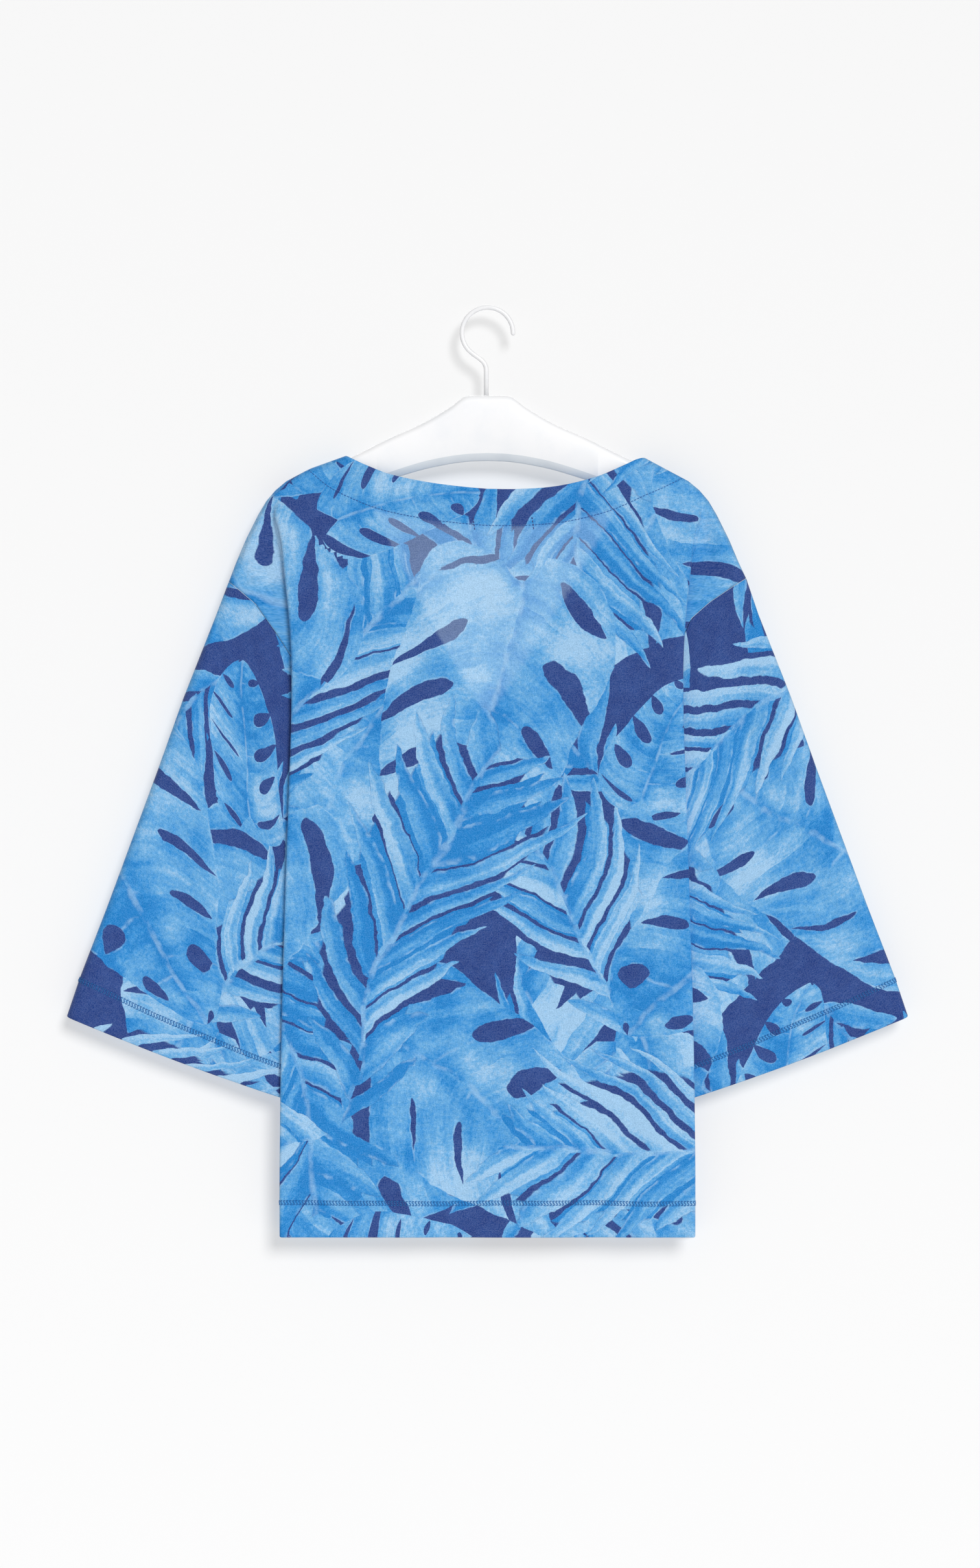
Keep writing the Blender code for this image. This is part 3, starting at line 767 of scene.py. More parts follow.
# %% [markdown]
# ## The print's layout
#
# Screen printing puts one layer of the design on the cloth after another, and this print works the
# same way. Five screens of big tropical leaves overlap. Split leaves have slits between their ribs,
# and fronds have long blades. The layout is our own and repeats like a roll of printed cloth. The
# leaves of one screen stand in a loose brick pattern and never touch.
#
# Python only lays the leaves out. For every face and every screen it looks up the nearest leaf and
# stores where the face lies on it: across the midrib, along it, and the leaf's number. The material
# draws the leaf's outline from that, so its edges are as sharp as the picture needs.

# %% Leaves of one repeat
REPEAT = (460.0, 620.0)
SCREEN_SHAPES = ("frond", "split", "frond", "split", "frond")      # from the ground up
HALF_WIDTHS = {"split": 0.35, "frond": 0.34}                       # in leaf lengths
Leaf = namedtuple("Leaf", "screen across up angle length bend")    # place is the leaf's middle
LEAVES = (
    Leaf(0, 35, 15, 25, 215, 0.15),
    Leaf(0, 255, 170, 150, 220, -0.15),
    Leaf(0, 25, 330, -38, 210, 0.20),
    Leaf(0, 262, 470, 200, 215, 0.15),

    Leaf(1, 125, 70, 165, 245, 0.12),
    Leaf(1, 350, 235, 40, 242, -0.12),
    Leaf(1, 106, 396, -140, 236, 0.15),
    Leaf(1, 355, 540, 100, 235, -0.15),

    Leaf(2, 62, 160, -22, 230, -0.20),
    Leaf(2, 310, 15, 155, 250, 0.20),
    Leaf(2, 318, 322, 30, 226, 0.20),
    Leaf(2, 72, 490, 190, 235, -0.15),

    Leaf(3, 5, 280, 190, 250, 0.15),
    Leaf(3, 240, 424, -30, 240, -0.12),
    Leaf(3, 12, 585, 120, 235, 0.12),
    Leaf(3, 220, 112, 215, 246, 0.15),
    Leaf(3, 145, 262, 18, 115, 0.12),
    Leaf(3, 392, 462, 75, 115, 0.10),

    Leaf(4, 385, 130, 15, 265, 0.20),
    Leaf(4, 160, 535, -100, 255, 0.20),
)
LEAF_MIDDLE = 0.45         # share of a leaf's length
HALF_LENGTH = 0.62         # of the oval round a leaf
WOBBLE = 5.0               # how far the hand of the painter strays, in millimetres


def wobbled(place):
    """The place with long swings and shorter ones added, so that no printed line is straight."""
    across, up = place[..., 0], place[..., 1]
    swings = np.sin(up / 29.0 + 1.3), np.sin(across / 33.0 + 0.4)
    shorter = np.sin(across / 17.0 + up / 23.0), np.sin(up / 19.0 - across / 21.0)
    return (across + WOBBLE * (swings[0] + 0.5 * shorter[0]),
            up + WOBBLE * (swings[1] + 0.5 * shorter[1]))


def on_leaf(leaf, across, up):
    """Place on a leaf in leaf lengths, across its midrib and along it, and how far out that is."""
    angle = math.radians(leaf.angle)
    from_middle = []
    for place, middle, repeat in ((across, leaf.across, REPEAT[0]), (up, leaf.up, REPEAT[1])):
        repeats = np.round((place.mean(axis=1, keepdims=True) - middle) / repeat)
        from_middle.append(place - repeats * repeat - middle)
    sideways = from_middle[0] * math.cos(angle) - from_middle[1] * math.sin(angle)
    along = from_middle[0] * math.sin(angle) + from_middle[1] * math.cos(angle)
    along = along / leaf.length + LEAF_MIDDLE
    sideways = sideways / leaf.length - leaf.bend * along * along
    half_width = HALF_WIDTHS[SCREEN_SHAPES[leaf.screen]]
    far = np.hypot(sideways.mean(axis=1) / half_width, (along.mean(axis=1) - LEAF_MIDDLE) / HALF_LENGTH)
    return sideways, along, far


def leaf_places(place, screen):
    """For corners (faces, corners, 2) in flat cloth: place on the nearest leaf of a screen."""
    across, up = wobbled(place)
    nearest = np.full(len(place), 1e9)
    found = np.zeros((*place.shape[:2], 3))
    for number, leaf in enumerate(LEAVES):
        if leaf.screen != screen:
            continue
        sideways, along, far = on_leaf(leaf, across, up)
        closer = far < nearest
        nearest = np.where(closer, far, nearest)
        values = np.stack([sideways, along, np.full_like(along, number + 1.0)], axis=2)
        found[closer] = values[closer]
    return found


SCREENS = sorted({leaf.screen for leaf in LEAVES})
print(len(LEAVES), "leaves on", len(SCREENS), "screens")

# %% [markdown]
# ## Sewing the pieces
#
# Each grid becomes a mesh, and a Solidify modifier gives it two faces and its thickness. The modifier
# copies what is stored on the corners to both faces, so the print lands on the outside and, paler,
# on the inside.

# %% Turn a grid into a piece of cloth
CLOTH_THICKNESS = 0.9
PRINT_ORIGIN = {
    "back": (0.0, 0.0),
    "front": (190.0, 140.0),
    "sleeve_left": (220.0, 360.0),
    "sleeve_right": (250.0, 20.0),
}


def add_corner_data(mesh, corners, name):
    """Store flat place and leaf places on the mesh's corners."""
    layer = mesh.uv_layers.new(name="flat_cloth")
    layer.data.foreach_set("uv", (corners * MM).reshape(-1).astype(np.float32))
    printed = corners + np.array(PRINT_ORIGIN[name])
    for screen in SCREENS:
        attribute = mesh.attributes.new(f"screen_{screen}", "FLOAT_VECTOR", "CORNER")
        values = leaf_places(printed, screen)
        attribute.data.foreach_set("vector", values.reshape(-1).astype(np.float32))


def mesh_from(name, points, faces):
    mesh = bpy.data.meshes.new(name)
    mesh.from_pydata((points.reshape(-1, 3) * MM).tolist(), [], faces.tolist())
    mesh.update()
    return mesh


def panel_mesh(name, grid):
    rows, columns = grid.shape[:2]
    index = np.arange(rows * columns).reshape(rows, columns)
    order = (index[:-1, :-1], index[1:, :-1], index[1:, 1:], index[:-1, 1:])
    if name == "front":
        order = order[::-1]
    faces = np.stack(order, axis=2).reshape(-1, 4)
    mesh = mesh_from(name, grid, faces)
    add_corner_data(mesh, flat[name].reshape(-1, 2)[faces], name)
    return mesh


def sleeve_mesh(name, grid, side):
    rings, count = grid.shape[:2]
    index = np.arange(rings * count).reshape(rings, count)
    all_faces, all_corners = [], []
    for order, place in flat_sleeve(grid):
        layer = index[:, order]
        quads = [(slice(None, -1), slice(None, -1)), (slice(1, None), slice(None, -1)),
                 (slice(1, None), slice(1, None)), (slice(None, -1), slice(1, None))]
        if (order[1] == 1) == (side > 0):
            quads.reverse()
        all_faces.append(np.stack([layer[quad] for quad in quads], axis=2).reshape(-1, 4))
        all_corners.append(np.stack([place[quad] for quad in quads], axis=2).reshape(-1, 4, 2))
    mesh = mesh_from(name, grid, np.concatenate(all_faces))
    add_corner_data(mesh, np.concatenate(all_corners), name)
    return mesh


def signed_volume(mesh):
    build = bmesh.new()
    build.from_mesh(mesh)
    volume = build.calc_volume(signed=True)
    build.free()
    return volume


def finished(item):
    """The object with its modifiers used up, so that its mesh is what they made."""
    evaluated = item.evaluated_get(bpy.context.evaluated_depsgraph_get())
    mesh = bpy.data.meshes.new_from_object(evaluated)
    item.modifiers.clear()
    old = item.data
    name = old.name
    item.data = mesh
    bpy.data.meshes.remove(old)
    mesh.name = name
    return item


def cloth_piece(name, mesh):
    item = bpy.data.objects.new(name + "_cloth", mesh)
    bpy.context.scene.collection.objects.link(item)
    wall = item.modifiers.new("wall", "SOLIDIFY")
    wall.thickness = CLOTH_THICKNESS * MM
    wall.offset = 0.0
    wall.material_offset = 1
    mesh.materials.append(bpy.data.materials.new(name + "_outside"))
    mesh.materials.append(bpy.data.materials.new(name + "_inside"))
    finished(item)
    item.data.shade_smooth()
    assert signed_volume(item.data) > 0.0, name + " is inside out"
    print(f"{name}: {len(item.data.polygons)} faces")
    return item


cloth = {name: cloth_piece(name, panel_mesh(name, grid)) for name, grid in panels.items()}
for name, side in SLEEVE_SIDES.items():
    cloth[name] = cloth_piece(name, sleeve_mesh(name, sleeves[name], side))

# %% [markdown]
# ## Sums made of nodes
#
# Node trees work out both the stitches and the print. In Blender's editor a sum is a chain of Math
# nodes, joined by hand. A script that joins them one by one is long and hard to follow, so each
# output gets a small wrapper here: `off * 1.3 + 0.15` then adds its two Math nodes by itself.

# %% Helpers for node trees
class Output:
    """One output of a node. A sum, product or comparison with it adds a Math node."""

    def __init__(self, node, place=0):
        self.tree = node.id_data
        self.socket = node.outputs[place]

    def __add__(self, other):
        return calc(self.tree, "ADD", self, other)

    def __sub__(self, other):
        return calc(self.tree, "SUBTRACT", self, other)

    def __rsub__(self, other):
        return calc(self.tree, "SUBTRACT", other, self)

    def __mul__(self, other):
        return calc(self.tree, "MULTIPLY", self, other)

    def __truediv__(self, other):
        return calc(self.tree, "DIVIDE", self, other)

    def __pow__(self, other):
        return calc(self.tree, "POWER", self, other)

    def __abs__(self):
        return calc(self.tree, "ABSOLUTE", self)

    def __gt__(self, other):
        return calc(self.tree, "GREATER_THAN", self, other)

    def __lt__(self, other):
        return calc(self.tree, "LESS_THAN", self, other)


def set_inputs(node, inputs):
    """Give a node's inputs their values, or join them to an Output, a node or a socket."""
    for key, value in inputs.items():
        if isinstance(value, Output):
            value = value.socket
        elif isinstance(value, bpy.types.Node):
            value = value.outputs[0]
        if isinstance(value, bpy.types.NodeSocket):
            node.id_data.links.new(value, node.inputs[key])
        else:
            node.inputs[key].default_value = value


def add_node(tree, kind, inputs=None, **settings):
    node = tree.nodes.new(kind)
    for key, value in settings.items():
        setattr(node, key, value)
    set_inputs(node, inputs or {})
    return node


def calc(tree, operation, *values):
    return Output(add_node(tree, "ShaderNodeMath", dict(enumerate(values)), operation=operation))


def vector_calc(tree, operation, *vectors):
    return Output(add_node(tree, "ShaderNodeVectorMath", dict(enumerate(vectors)), operation=operation))


def scaled(tree, vector, scale):
    inputs = {0: vector, "Scale": scale}
    return Output(add_node(tree, "ShaderNodeVectorMath", inputs, operation="SCALE"))


def combine(tree, x, y, z=0.0):
    return Output(add_node(tree, "ShaderNodeCombineXYZ", {"X": x, "Y": y, "Z": z}))


def new_group(name, kind, inputs, outputs):
    """A node group with named sockets, given as (name, socket type, default), and its inputs."""
    tree = bpy.data.node_groups.new(name, kind)
    for title, socket_type, default in inputs:
        socket = tree.interface.new_socket(title, in_out="INPUT", socket_type=socket_type)
        if default is not None:
            socket.default_value = default
    for title, socket_type in outputs:
        tree.interface.new_socket(title, in_out="OUTPUT", socket_type=socket_type)
    start = add_node(tree, "NodeGroupInput")
    return tree, {title: Output(start, title) for title, _, _ in inputs}


# %% [markdown]
# ## Stitching
#
# Three kinds of sewing show: one row along the neck facing, a cover stitch with two needle rows and
# a thread that slants across between them at the hem and cuffs, and two small tacks at the back
# neck. There are more than a thousand stitches, all alike, so Geometry Nodes place them. A path lies
# on the cloth and knows which way is out of it. The tree cuts the path into stitch lengths, puts a
# small thread on each point and turns it along the path.

# %% A tree that sews
HALF_THREAD = 0.42         # of a straight thread's length, as a share of the stitch
HALF_SLANT = 0.56          # of a slanting thread's length, as a share of the rows' distance


def moved_aside(tree, points, out, tangent, shift):
    """The path's points moved sideways by a distance in the cloth."""
    side = vector_calc(tree, "NORMALIZE", vector_calc(tree, "CROSS_PRODUCT", out, tangent))
    offset = scaled(tree, side, shift)
    return add_node(tree, "GeometryNodeSetPosition", {"Geometry": points, "Offset": offset})


def lay_threads(tree, start, points, out, tangent, length, turn=0.0):
    """Put one thread on each point, turned by an angle from the path's own direction."""
    ball = add_node(tree, "GeometryNodeMeshUVSphere", {"Segments": 6, "Rings": 4, "Radius": 1.0})
    along = add_node(tree, "FunctionNodeAlignRotationToVector", {"Vector": tangent}, axis="X")
    upright = add_node(tree, "FunctionNodeAlignRotationToVector", {"Rotation": along, "Vector": out},
                       axis="Z", pivot_axis="X")
    turned = add_node(tree, "FunctionNodeRotateRotation", {0: upright, 1: combine(tree, 0.0, 0.0, turn)},
                      rotation_space="LOCAL")
    size = combine(tree, length, start["Thread Radius"], start["Thread Radius"])
    return add_node(tree, "GeometryNodeInstanceOnPoints",
                    {"Points": points, "Instance": ball, "Rotation": turned, "Scale": size})


def sewing_tree(name, is_cover):
    tree, start = new_group(name, "GeometryNodeTree", (
        ("Path", "NodeSocketGeometry", None),
        ("Stitch Length", "NodeSocketFloat", 0.0026),
        ("Thread Radius", "NodeSocketFloat", 0.00025),
        ("Row Distance", "NodeSocketFloat", 0.0),
        ("Thread", "NodeSocketMaterial", None),
    ), (("Stitches", "NodeSocketGeometry"),))
    length, distance = start["Stitch Length"], start["Row Distance"]
    curve = add_node(tree, "GeometryNodeMeshToCurve", {0: start["Path"]})
    cut = add_node(tree, "GeometryNodeResampleCurve", {"Curve": curve, "Length": length}, mode="LENGTH")
    out = add_node(tree, "GeometryNodeInputNamedAttribute", {"Name": "out"}, data_type="FLOAT_VECTOR")
    tangent = add_node(tree, "GeometryNodeInputTangent")
    joined = add_node(tree, "GeometryNodeJoinGeometry")
    for share in (-0.5, 0.5) if is_cover else (0.0,):
        row = moved_aside(tree, cut, out, tangent, distance * share)
        set_inputs(joined, {0: lay_threads(tree, start, row, out, tangent, length * HALF_THREAD)})
    if is_cover:
        slant = calc(tree, "ARCTAN2", distance, length) * -1.0
        set_inputs(joined, {0: lay_threads(tree, start, cut, out, tangent, distance * HALF_SLANT, slant)})
    realize = add_node(tree, "GeometryNodeRealizeInstances", {0: joined})
    finish = add_node(tree, "GeometryNodeSetMaterial", {"Geometry": realize, "Material": start["Thread"]})
    smooth = add_node(tree, "GeometryNodeSetShadeSmooth", {0: finish})
    add_node(tree, "NodeGroupOutput", {"Stitches": smooth})
    return tree


sewing = {"running": sewing_tree("running stitch", False), "cover": sewing_tree("cover stitch", True)}
print("sewing trees:", sorted(tree.name for tree in sewing.values()))

# %% [markdown]
# ## Paths for the needle
#
# Paths along a hem are simply one row of the cloth's own grid. The neck row lies 30 mm inside the
# neckline, where the facing ends behind it, so its path is the neckline moved inward and laid on the
# cloth with a ray from outside.

# %% Paths on the cloth
STITCH_LIFT = 0.12         # of the path above the cloth's outer face
STITCH_STRAY = 0.35        # how far a row of stitches leaves its line
STRAY_WAVES = ((31.0, 1.0, 0.0), (13.0, 0.6, 1.0))     # length, share, start
FACING_DEPTH = 30.0
SHOULDER_MARGIN = 1.5      # how far below the shoulder's edge a neck row ends
SEAM_POINTS = 3            # of a hem's row that are left out beside each seam
RAY_START = 200.0          # how far outside the cloth a ray starts
NECK_STEPS = 60
BENT_POINTS = 140
BENT_ROUNDS = 10
NeedleRow = namedtuple("NeedleRow", "length radius distance")
NECK_SEWING = NeedleRow(2.7, 0.33, 0.0)
COVER_SEWING = NeedleRow(2.5, 0.40, 3.3)
TACK_SEWING = NeedleRow(2.6, 0.42, 0.0)
TACKS = (Point(-11.7, -172.9), Point(36.6, -172.4))    # their upper ends
TACK_LENGTH = 8.0
TACK_LEAN = 1.2
TACK_STEPS = 6


def lifted_path(points, outs, closed=False):
    """A path just above the cloth's outer face, with the directions out of the cloth."""
    outs = np.array(outs) / np.linalg.norm(outs, axis=1, keepdims=True)
    return np.array(points) + outs * (0.5 * CLOTH_THICKNESS + STITCH_LIFT), outs, closed


def wandering(points):
    """A sewn row strays a little up and down, as a hand guides it."""
    x = points[:, 0]
    stray = STITCH_STRAY * sum(share * np.sin(x / length + start) for length, share, start in STRAY_WAVES)
    return points + np.stack([0.0 * x, 0.0 * x, stray], axis=1)


def grid_outs(grid, row, outward_sign, closed):
    """Directions out of the cloth along one row of a grid."""
    run = np.roll(grid[row], -1, axis=0) - np.roll(grid[row], 1, axis=0)
    if not closed:
        run[0], run[-1] = run[1], run[-2]
    down = grid[row + 1] - grid[row - 1]
    return np.cross(down, run) * outward_sign


def hem_path(name):
    grid = panels[name]
    row = len(UPPER_SHARES) + LOWER_HEIGHTS.index(HEM_ROW)
    outs = grid_outs(grid, row, -FACING[name], False)
    between_seams = slice(SEAM_POINTS, -SEAM_POINTS)
    return lifted_path(wandering(grid[row][between_seams]), outs[between_seams])


def cuff_path(name):
    grid = sleeves[name]
    length = np.linalg.norm(np.diff(grid[:len(SLEEVE_SHARES), 0], axis=0), axis=1)[::-1].cumsum()
    row = len(SLEEVE_SHARES) - 2 - int(np.searchsorted(length, HEM_DEPTH))
    outs = grid_outs(grid, row, -SLEEVE_SIDES[name], True)
    return lifted_path(wandering(grid[row]), outs, closed=True)


def laid_on(name, places):
    """A path through places (across, up), laid on a panel by rays from outside."""
    mesh = cloth[name].data
    faces = BVHTree.FromPolygons([v.co for v in mesh.vertices], [p.vertices for p in mesh.polygons])
    facing = FACING[name]
    points, outs = [], []
    for x, z in places:
        start = Vector((x * MM, facing * RAY_START * MM, z * MM))
        place, out, _, _ = faces.ray_cast(start, Vector((0.0, -facing, 0.0)))
        if place is not None:
            points.append(np.array(place) / MM - 0.5 * CLOTH_THICKNESS * np.array(out))
            outs.append(np.array(out))
    return lifted_path(points, outs)


def bent(line):
    """A line with its corners rounded, by averaging neighbours."""
    run = np.concatenate([[0.0], np.cumsum(np.linalg.norm(np.diff(line, axis=0), axis=1))])
    even = np.linspace(0.0, run[-1], BENT_POINTS)
    line = np.stack([np.interp(even, run, line[:, axis]) for axis in (0, 1)], axis=1)
    for _ in range(BENT_ROUNDS):
        line[1:-1] = 0.5 * line[1:-1] + 0.25 * (line[:-2] + line[2:])
    return line


def neck_path(name):
    """The neckline moved inward by the facing's depth, up to the shoulder on both sides."""
    is_front = name == "front"
    steps = [(-1, i / NECK_STEPS) for i in range(NECK_STEPS, 0, -1)]
    steps += [(1, i / NECK_STEPS) for i in range(NECK_STEPS + 1)]
    neckline = np.array([(side * NECK_POINT[side].reach * share, neckline_height(side, share, is_front))
                         for side, share in steps])
    run = np.gradient(neckline, axis=0)
    run /= np.linalg.norm(run, axis=1, keepdims=True)
    moved = neckline + np.stack([run[:, 1], -run[:, 0]], axis=1) * FACING_DEPTH
    if is_front:
        left, right = moved[:NECK_STEPS], moved[NECK_STEPS + 1:]
        moved = np.concatenate([left[left[:, 0] < 0.0], right[right[:, 0] > 0.0]])
    ends = []
    for side in (-1, 1):
        reach = NECK_POINT[side].reach + FACING_DEPTH
        ends.append((side * reach, line_height(shoulder_line(side), reach) - SHOULDER_MARGIN))
    return laid_on(name, bent(np.array([ends[0], *moved, ends[1]])))


def tack_path(tack):
    """A short upright bar that tacks the facing down where the neck row passes."""
    shares_down = [i / TACK_STEPS for i in range(TACK_STEPS + 1)]
    return laid_on("back", [(tack.reach + TACK_LEAN * share, tack.height - TACK_LENGTH * share)
                            for share in shares_down])


# %% Sew
def path_mesh(name, paths):
    """A mesh of loose edges with the direction out of the cloth on each point."""
    points, outs, edges = [], [], []
    for place, out, closed in paths:
        first = len(points)
        points += place.tolist()
        outs += out.tolist()
        edges += [(first + i, first + i + 1) for i in range(len(place) - 1)]
        if closed:
            edges.append((len(points) - 1, first))
    mesh = bpy.data.meshes.new(name)
    mesh.from_pydata((np.array(points) * MM).tolist(), edges, [])
    attribute = mesh.attributes.new("out", "FLOAT_VECTOR", "POINT")
    attribute.data.foreach_set("vector", np.array(outs, dtype=np.float32).reshape(-1))
    return mesh


def sew(name, kind, paths, row, thread):
    item = bpy.data.objects.new(name, path_mesh(name, paths))
    bpy.context.scene.collection.objects.link(item)
    modifier = item.modifiers.new("sewing", "NODES")
    modifier.node_group = sewing[kind]
    values = {"Stitch Length": row.length * MM, "Thread Radius": row.radius * MM,
              "Row Distance": row.distance * MM, "Thread": thread}
    for socket in modifier.node_group.interface.items_tree:
        if socket.in_out == "INPUT" and socket.name in values:
            modifier[socket.identifier] = values[socket.name]
    finished(item)
    print(f"{name}: {len(item.data.polygons)} faces")
    return item


hem_thread = bpy.data.materials.new("hem_thread")
neck_thread = bpy.data.materials.new("neck_thread")
tack_thread = bpy.data.materials.new("tack_thread")
stitching = {
    "back": [
        sew("hem_stitching_back", "cover", [hem_path("back")], COVER_SEWING, hem_thread),
        sew("neck_stitching_back", "running", [neck_path("back")], NECK_SEWING, neck_thread),
        sew("neck_tacks", "running", [tack_path(tack) for tack in TACKS], TACK_SEWING, tack_thread),
    ],
    "front": [
        sew("hem_stitching_front", "cover", [hem_path("front")], COVER_SEWING, hem_thread),
        sew("neck_stitching_front", "running", [neck_path("front")], NECK_SEWING, neck_thread),
    ],
    "sleeve_left": [
        sew("cuff_stitching_left", "cover", [cuff_path("sleeve_left")], COVER_SEWING, hem_thread),
    ],
    "sleeve_right": [
        sew("cuff_stitching_right", "cover", [cuff_path("sleeve_right")], COVER_SEWING, hem_thread),
    ],
}

# %% [markdown]
# ## The hanger
#
# A shop hanger is one flat moulding with a bevelled lower edge, and a coated wire turned into a hook.
# The moulding is a loft through sections along its arms; a Bevel modifier then softens its edges the
# way a mould does. The hook is a curve with a round section, and its tip is rounded by making the
# last points of the wire thinner.

# %% The moulding
HangerRow = namedtuple("HangerRow", "reach top face_end underside half_depth")
HANGER_ROWS = (
    HangerRow(0.0, -70.6, -118.3, -124.2, 5.5),
    HangerRow(14.0, -70.6, -118.8, -124.7, 5.5),
    HangerRow(20.0, -71.9, -119.4, -125.3, 5.5),
    HangerRow(31.0, -80.2, -120.8, -126.8, 5.5),
    HangerRow(53.0, -93.1, -125.4, -131.4, 5.5),
    HangerRow(82.0, -106.2, -134.5, -140.2, 5.5),
    HangerRow(115.0, -122.3, -146.5, -151.0, 5.5),
    HangerRow(146.0, -132.4, -153.8, -157.6, 5.2),
    HangerRow(160.0, -139.6, -157.0, -160.0, 4.8),
    HangerRow(167.0, -144.7, -157.6, -160.0, 4.2),
    HangerRow(170.5, -149.4, -156.0, -157.8, 3.2),
)
SHELF_SHARE = 0.35         # of the half thickness that is left under the bevel
TOP_STEPS = 6
SECTION_STEPS = 60         # along one arm
MOULD_EDGE = 0.7
# Faces that look down more than this get the greyer lip material, which is painted shade.
SHADED_LIP_SLOPE = -0.3           # faces that look down more than this belong to the greyer lower lip


def loft(name, sections):
    mesh = bpy.data.meshes.new(name)
    build = bmesh.new()
    grid = [[build.verts.new([value * MM for value in point]) for point in section] for section in sections]
    count = len(grid[0])
    for upper, lower in zip(grid, grid[1:]):
        for i in range(count):
            build.faces.new((upper[i], upper[(i + 1) % count], lower[(i + 1) % count], lower[i]))
    build.faces.new(list(reversed(grid[0])))
    build.faces.new(grid[-1])
    bmesh.ops.recalc_face_normals(build, faces=build.faces)
    build.to_mesh(mesh)
    build.free()
    return mesh


def hanger_section(reach):
    row = [table_value(HANGER_ROWS, "reach", column, abs(reach)) for column in HangerRow._fields[1:]]
    top, face_end, underside, half = row
    round_height = min(half, 0.5 * (top - face_end))
    right = []
    for i in range(TOP_STEPS + 1):
        angle = 0.5 * math.pi * i / TOP_STEPS
        right.append((half * math.sin(angle), top - round_height * (1.0 - math.cos(angle))))
    right += [(half, face_end), (SHELF_SHARE * half, underside)]
    left = [(-depth, height) for depth, height in reversed(right) if depth > 0.0]
    return [(reach, depth, height) for depth, height in right + left]


def make_hanger():
    step = HANGER_ROWS[-1].reach / SECTION_STEPS
    sections = [hanger_section(step * i) for i in range(-SECTION_STEPS, SECTION_STEPS + 1)]
    item = bpy.data.objects.new("hanger_moulding", loft("hanger_moulding", sections))
    bpy.context.scene.collection.objects.link(item)
    edges = item.modifiers.new("soft mould edges", "BEVEL")
    edges.width = MOULD_EDGE * MM
    edges.segments = 3
    edges.limit_method = "ANGLE"
    edges.angle_limit = math.radians(35)
    finished(item)
    item.data.shade_smooth()
    item.data.set_sharp_from_angle(angle=math.radians(40))
    return item


hanger = make_hanger()
print("hanger faces:", len(hanger.data.polygons))

# %% The hook
HOOK_WIRE_RADIUS = 2.0
HOOK_RADIUS = 21.0
HOOK_TIP_ANGLE = -6.0
HOOK_NECK_ANGLE = 214.0
HOOK_STEM_REACH = -1.0
HOOK_STEM_BEND = -50.0
HOOK_ARC_STEPS = 72
HOOK_NECK_STEPS = 20
HOOK_NECK_PULL = 0.4       # how softly the neck bends, as a share of its length
SEAT_GAP = 0.3
TIP_STEPS = 6
TIP_POINT = 0.15           # of a step that is left open in the middle of the tip
DOUBLES = 0.02             # points of the wire's two ends that lie this close are one


def hook_route():
    centre_height = HOOK_WIRE_RADIUS - HOOK_RADIUS
    route = []
    for i in range(HOOK_ARC_STEPS + 1):
        angle = math.radians(mix(HOOK_TIP_ANGLE, HOOK_NECK_ANGLE, i / HOOK_ARC_STEPS))
        route.append((HOOK_RADIUS * math.cos(angle), centre_height + HOOK_RADIUS * math.sin(angle)))
    start = route[-1]
    heading = (-math.sin(angle), math.cos(angle))
    end = (HOOK_STEM_REACH, HOOK_STEM_BEND)
    pull = HOOK_NECK_PULL * math.dist(start, end)
    first = (start[0] + heading[0] * pull, start[1] + heading[1] * pull)
    second = (end[0], end[1] + pull)
    route += [bezier_point((start, first, second, end), i / HOOK_NECK_STEPS)
              for i in range(1, HOOK_NECK_STEPS + 1)]
    route.append((HOOK_STEM_REACH, HANGER_ROWS[0].top + SEAT_GAP))
    return route


def make_hook():
    route = hook_route()
    tip, after = route[0], route[1]
    forward = Vector(tip) - Vector(after)
    forward.normalize()
    rounded_tip = []
    for i in range(TIP_STEPS, 0, -1):
        angle = 0.5 * math.pi * (i - TIP_POINT) / TIP_STEPS
        place = Vector(tip) + forward * HOOK_WIRE_RADIUS * (math.sin(angle) - 1.0)
        rounded_tip.append((*place, math.cos(angle)))
    rest = [(*point, 1.0) for point in route if math.dist(point, tip) > HOOK_WIRE_RADIUS]
    route = rounded_tip + rest
    curve = bpy.data.curves.new("hanger_wire", "CURVE")
    curve.dimensions = "3D"
    curve.bevel_depth = HOOK_WIRE_RADIUS * MM
    curve.bevel_resolution = 5
    curve.use_fill_caps = True
    spline = curve.splines.new("POLY")
    spline.points.add(len(route) - 1)
    for point, (reach, height, thickness) in zip(spline.points, route):
        point.co = (reach * MM, 0.0, height * MM, 1.0)
        point.radius = thickness
    item = bpy.data.objects.new("hook_wire_curve", curve)
    bpy.context.scene.collection.objects.link(item)
    mesh = bpy.data.meshes.new_from_object(item.evaluated_get(bpy.context.evaluated_depsgraph_get()))
    bpy.data.objects.remove(item)
    build = bmesh.new()
    build.from_mesh(mesh)
    bmesh.ops.remove_doubles(build, verts=build.verts, dist=DOUBLES * MM)
    bmesh.ops.recalc_face_normals(build, faces=build.faces)
    build.to_mesh(mesh)
    build.free()
    mesh.shade_smooth()
    hook = bpy.data.objects.new("hanger_wire", mesh)
    bpy.context.scene.collection.objects.link(hook)
    return hook


hook = make_hook()
print("hook faces:", len(hook.data.polygons))

# %% [markdown]
# ## Painted leaves
#
# Each kind of leaf is a node group that reads a place on the leaf and works out its shape with plain
# maths, much as one would draw it: an outline, ribs that leave the midrib and bend towards the tip,
# and slits or blades between them. It puts out masks, and a second group fills them with the
# watercolour. Drawing by formula has no limit of pixels, and no picture is needed.

# %% Small shader helpers
def lowest(first, second):
    return calc(first.tree, "MINIMUM", first, second)


def highest(first, second):
    return calc(first.tree, "MAXIMUM", first, second)


def clamped(value, low, high):
    return lowest(highest(value, low), high)


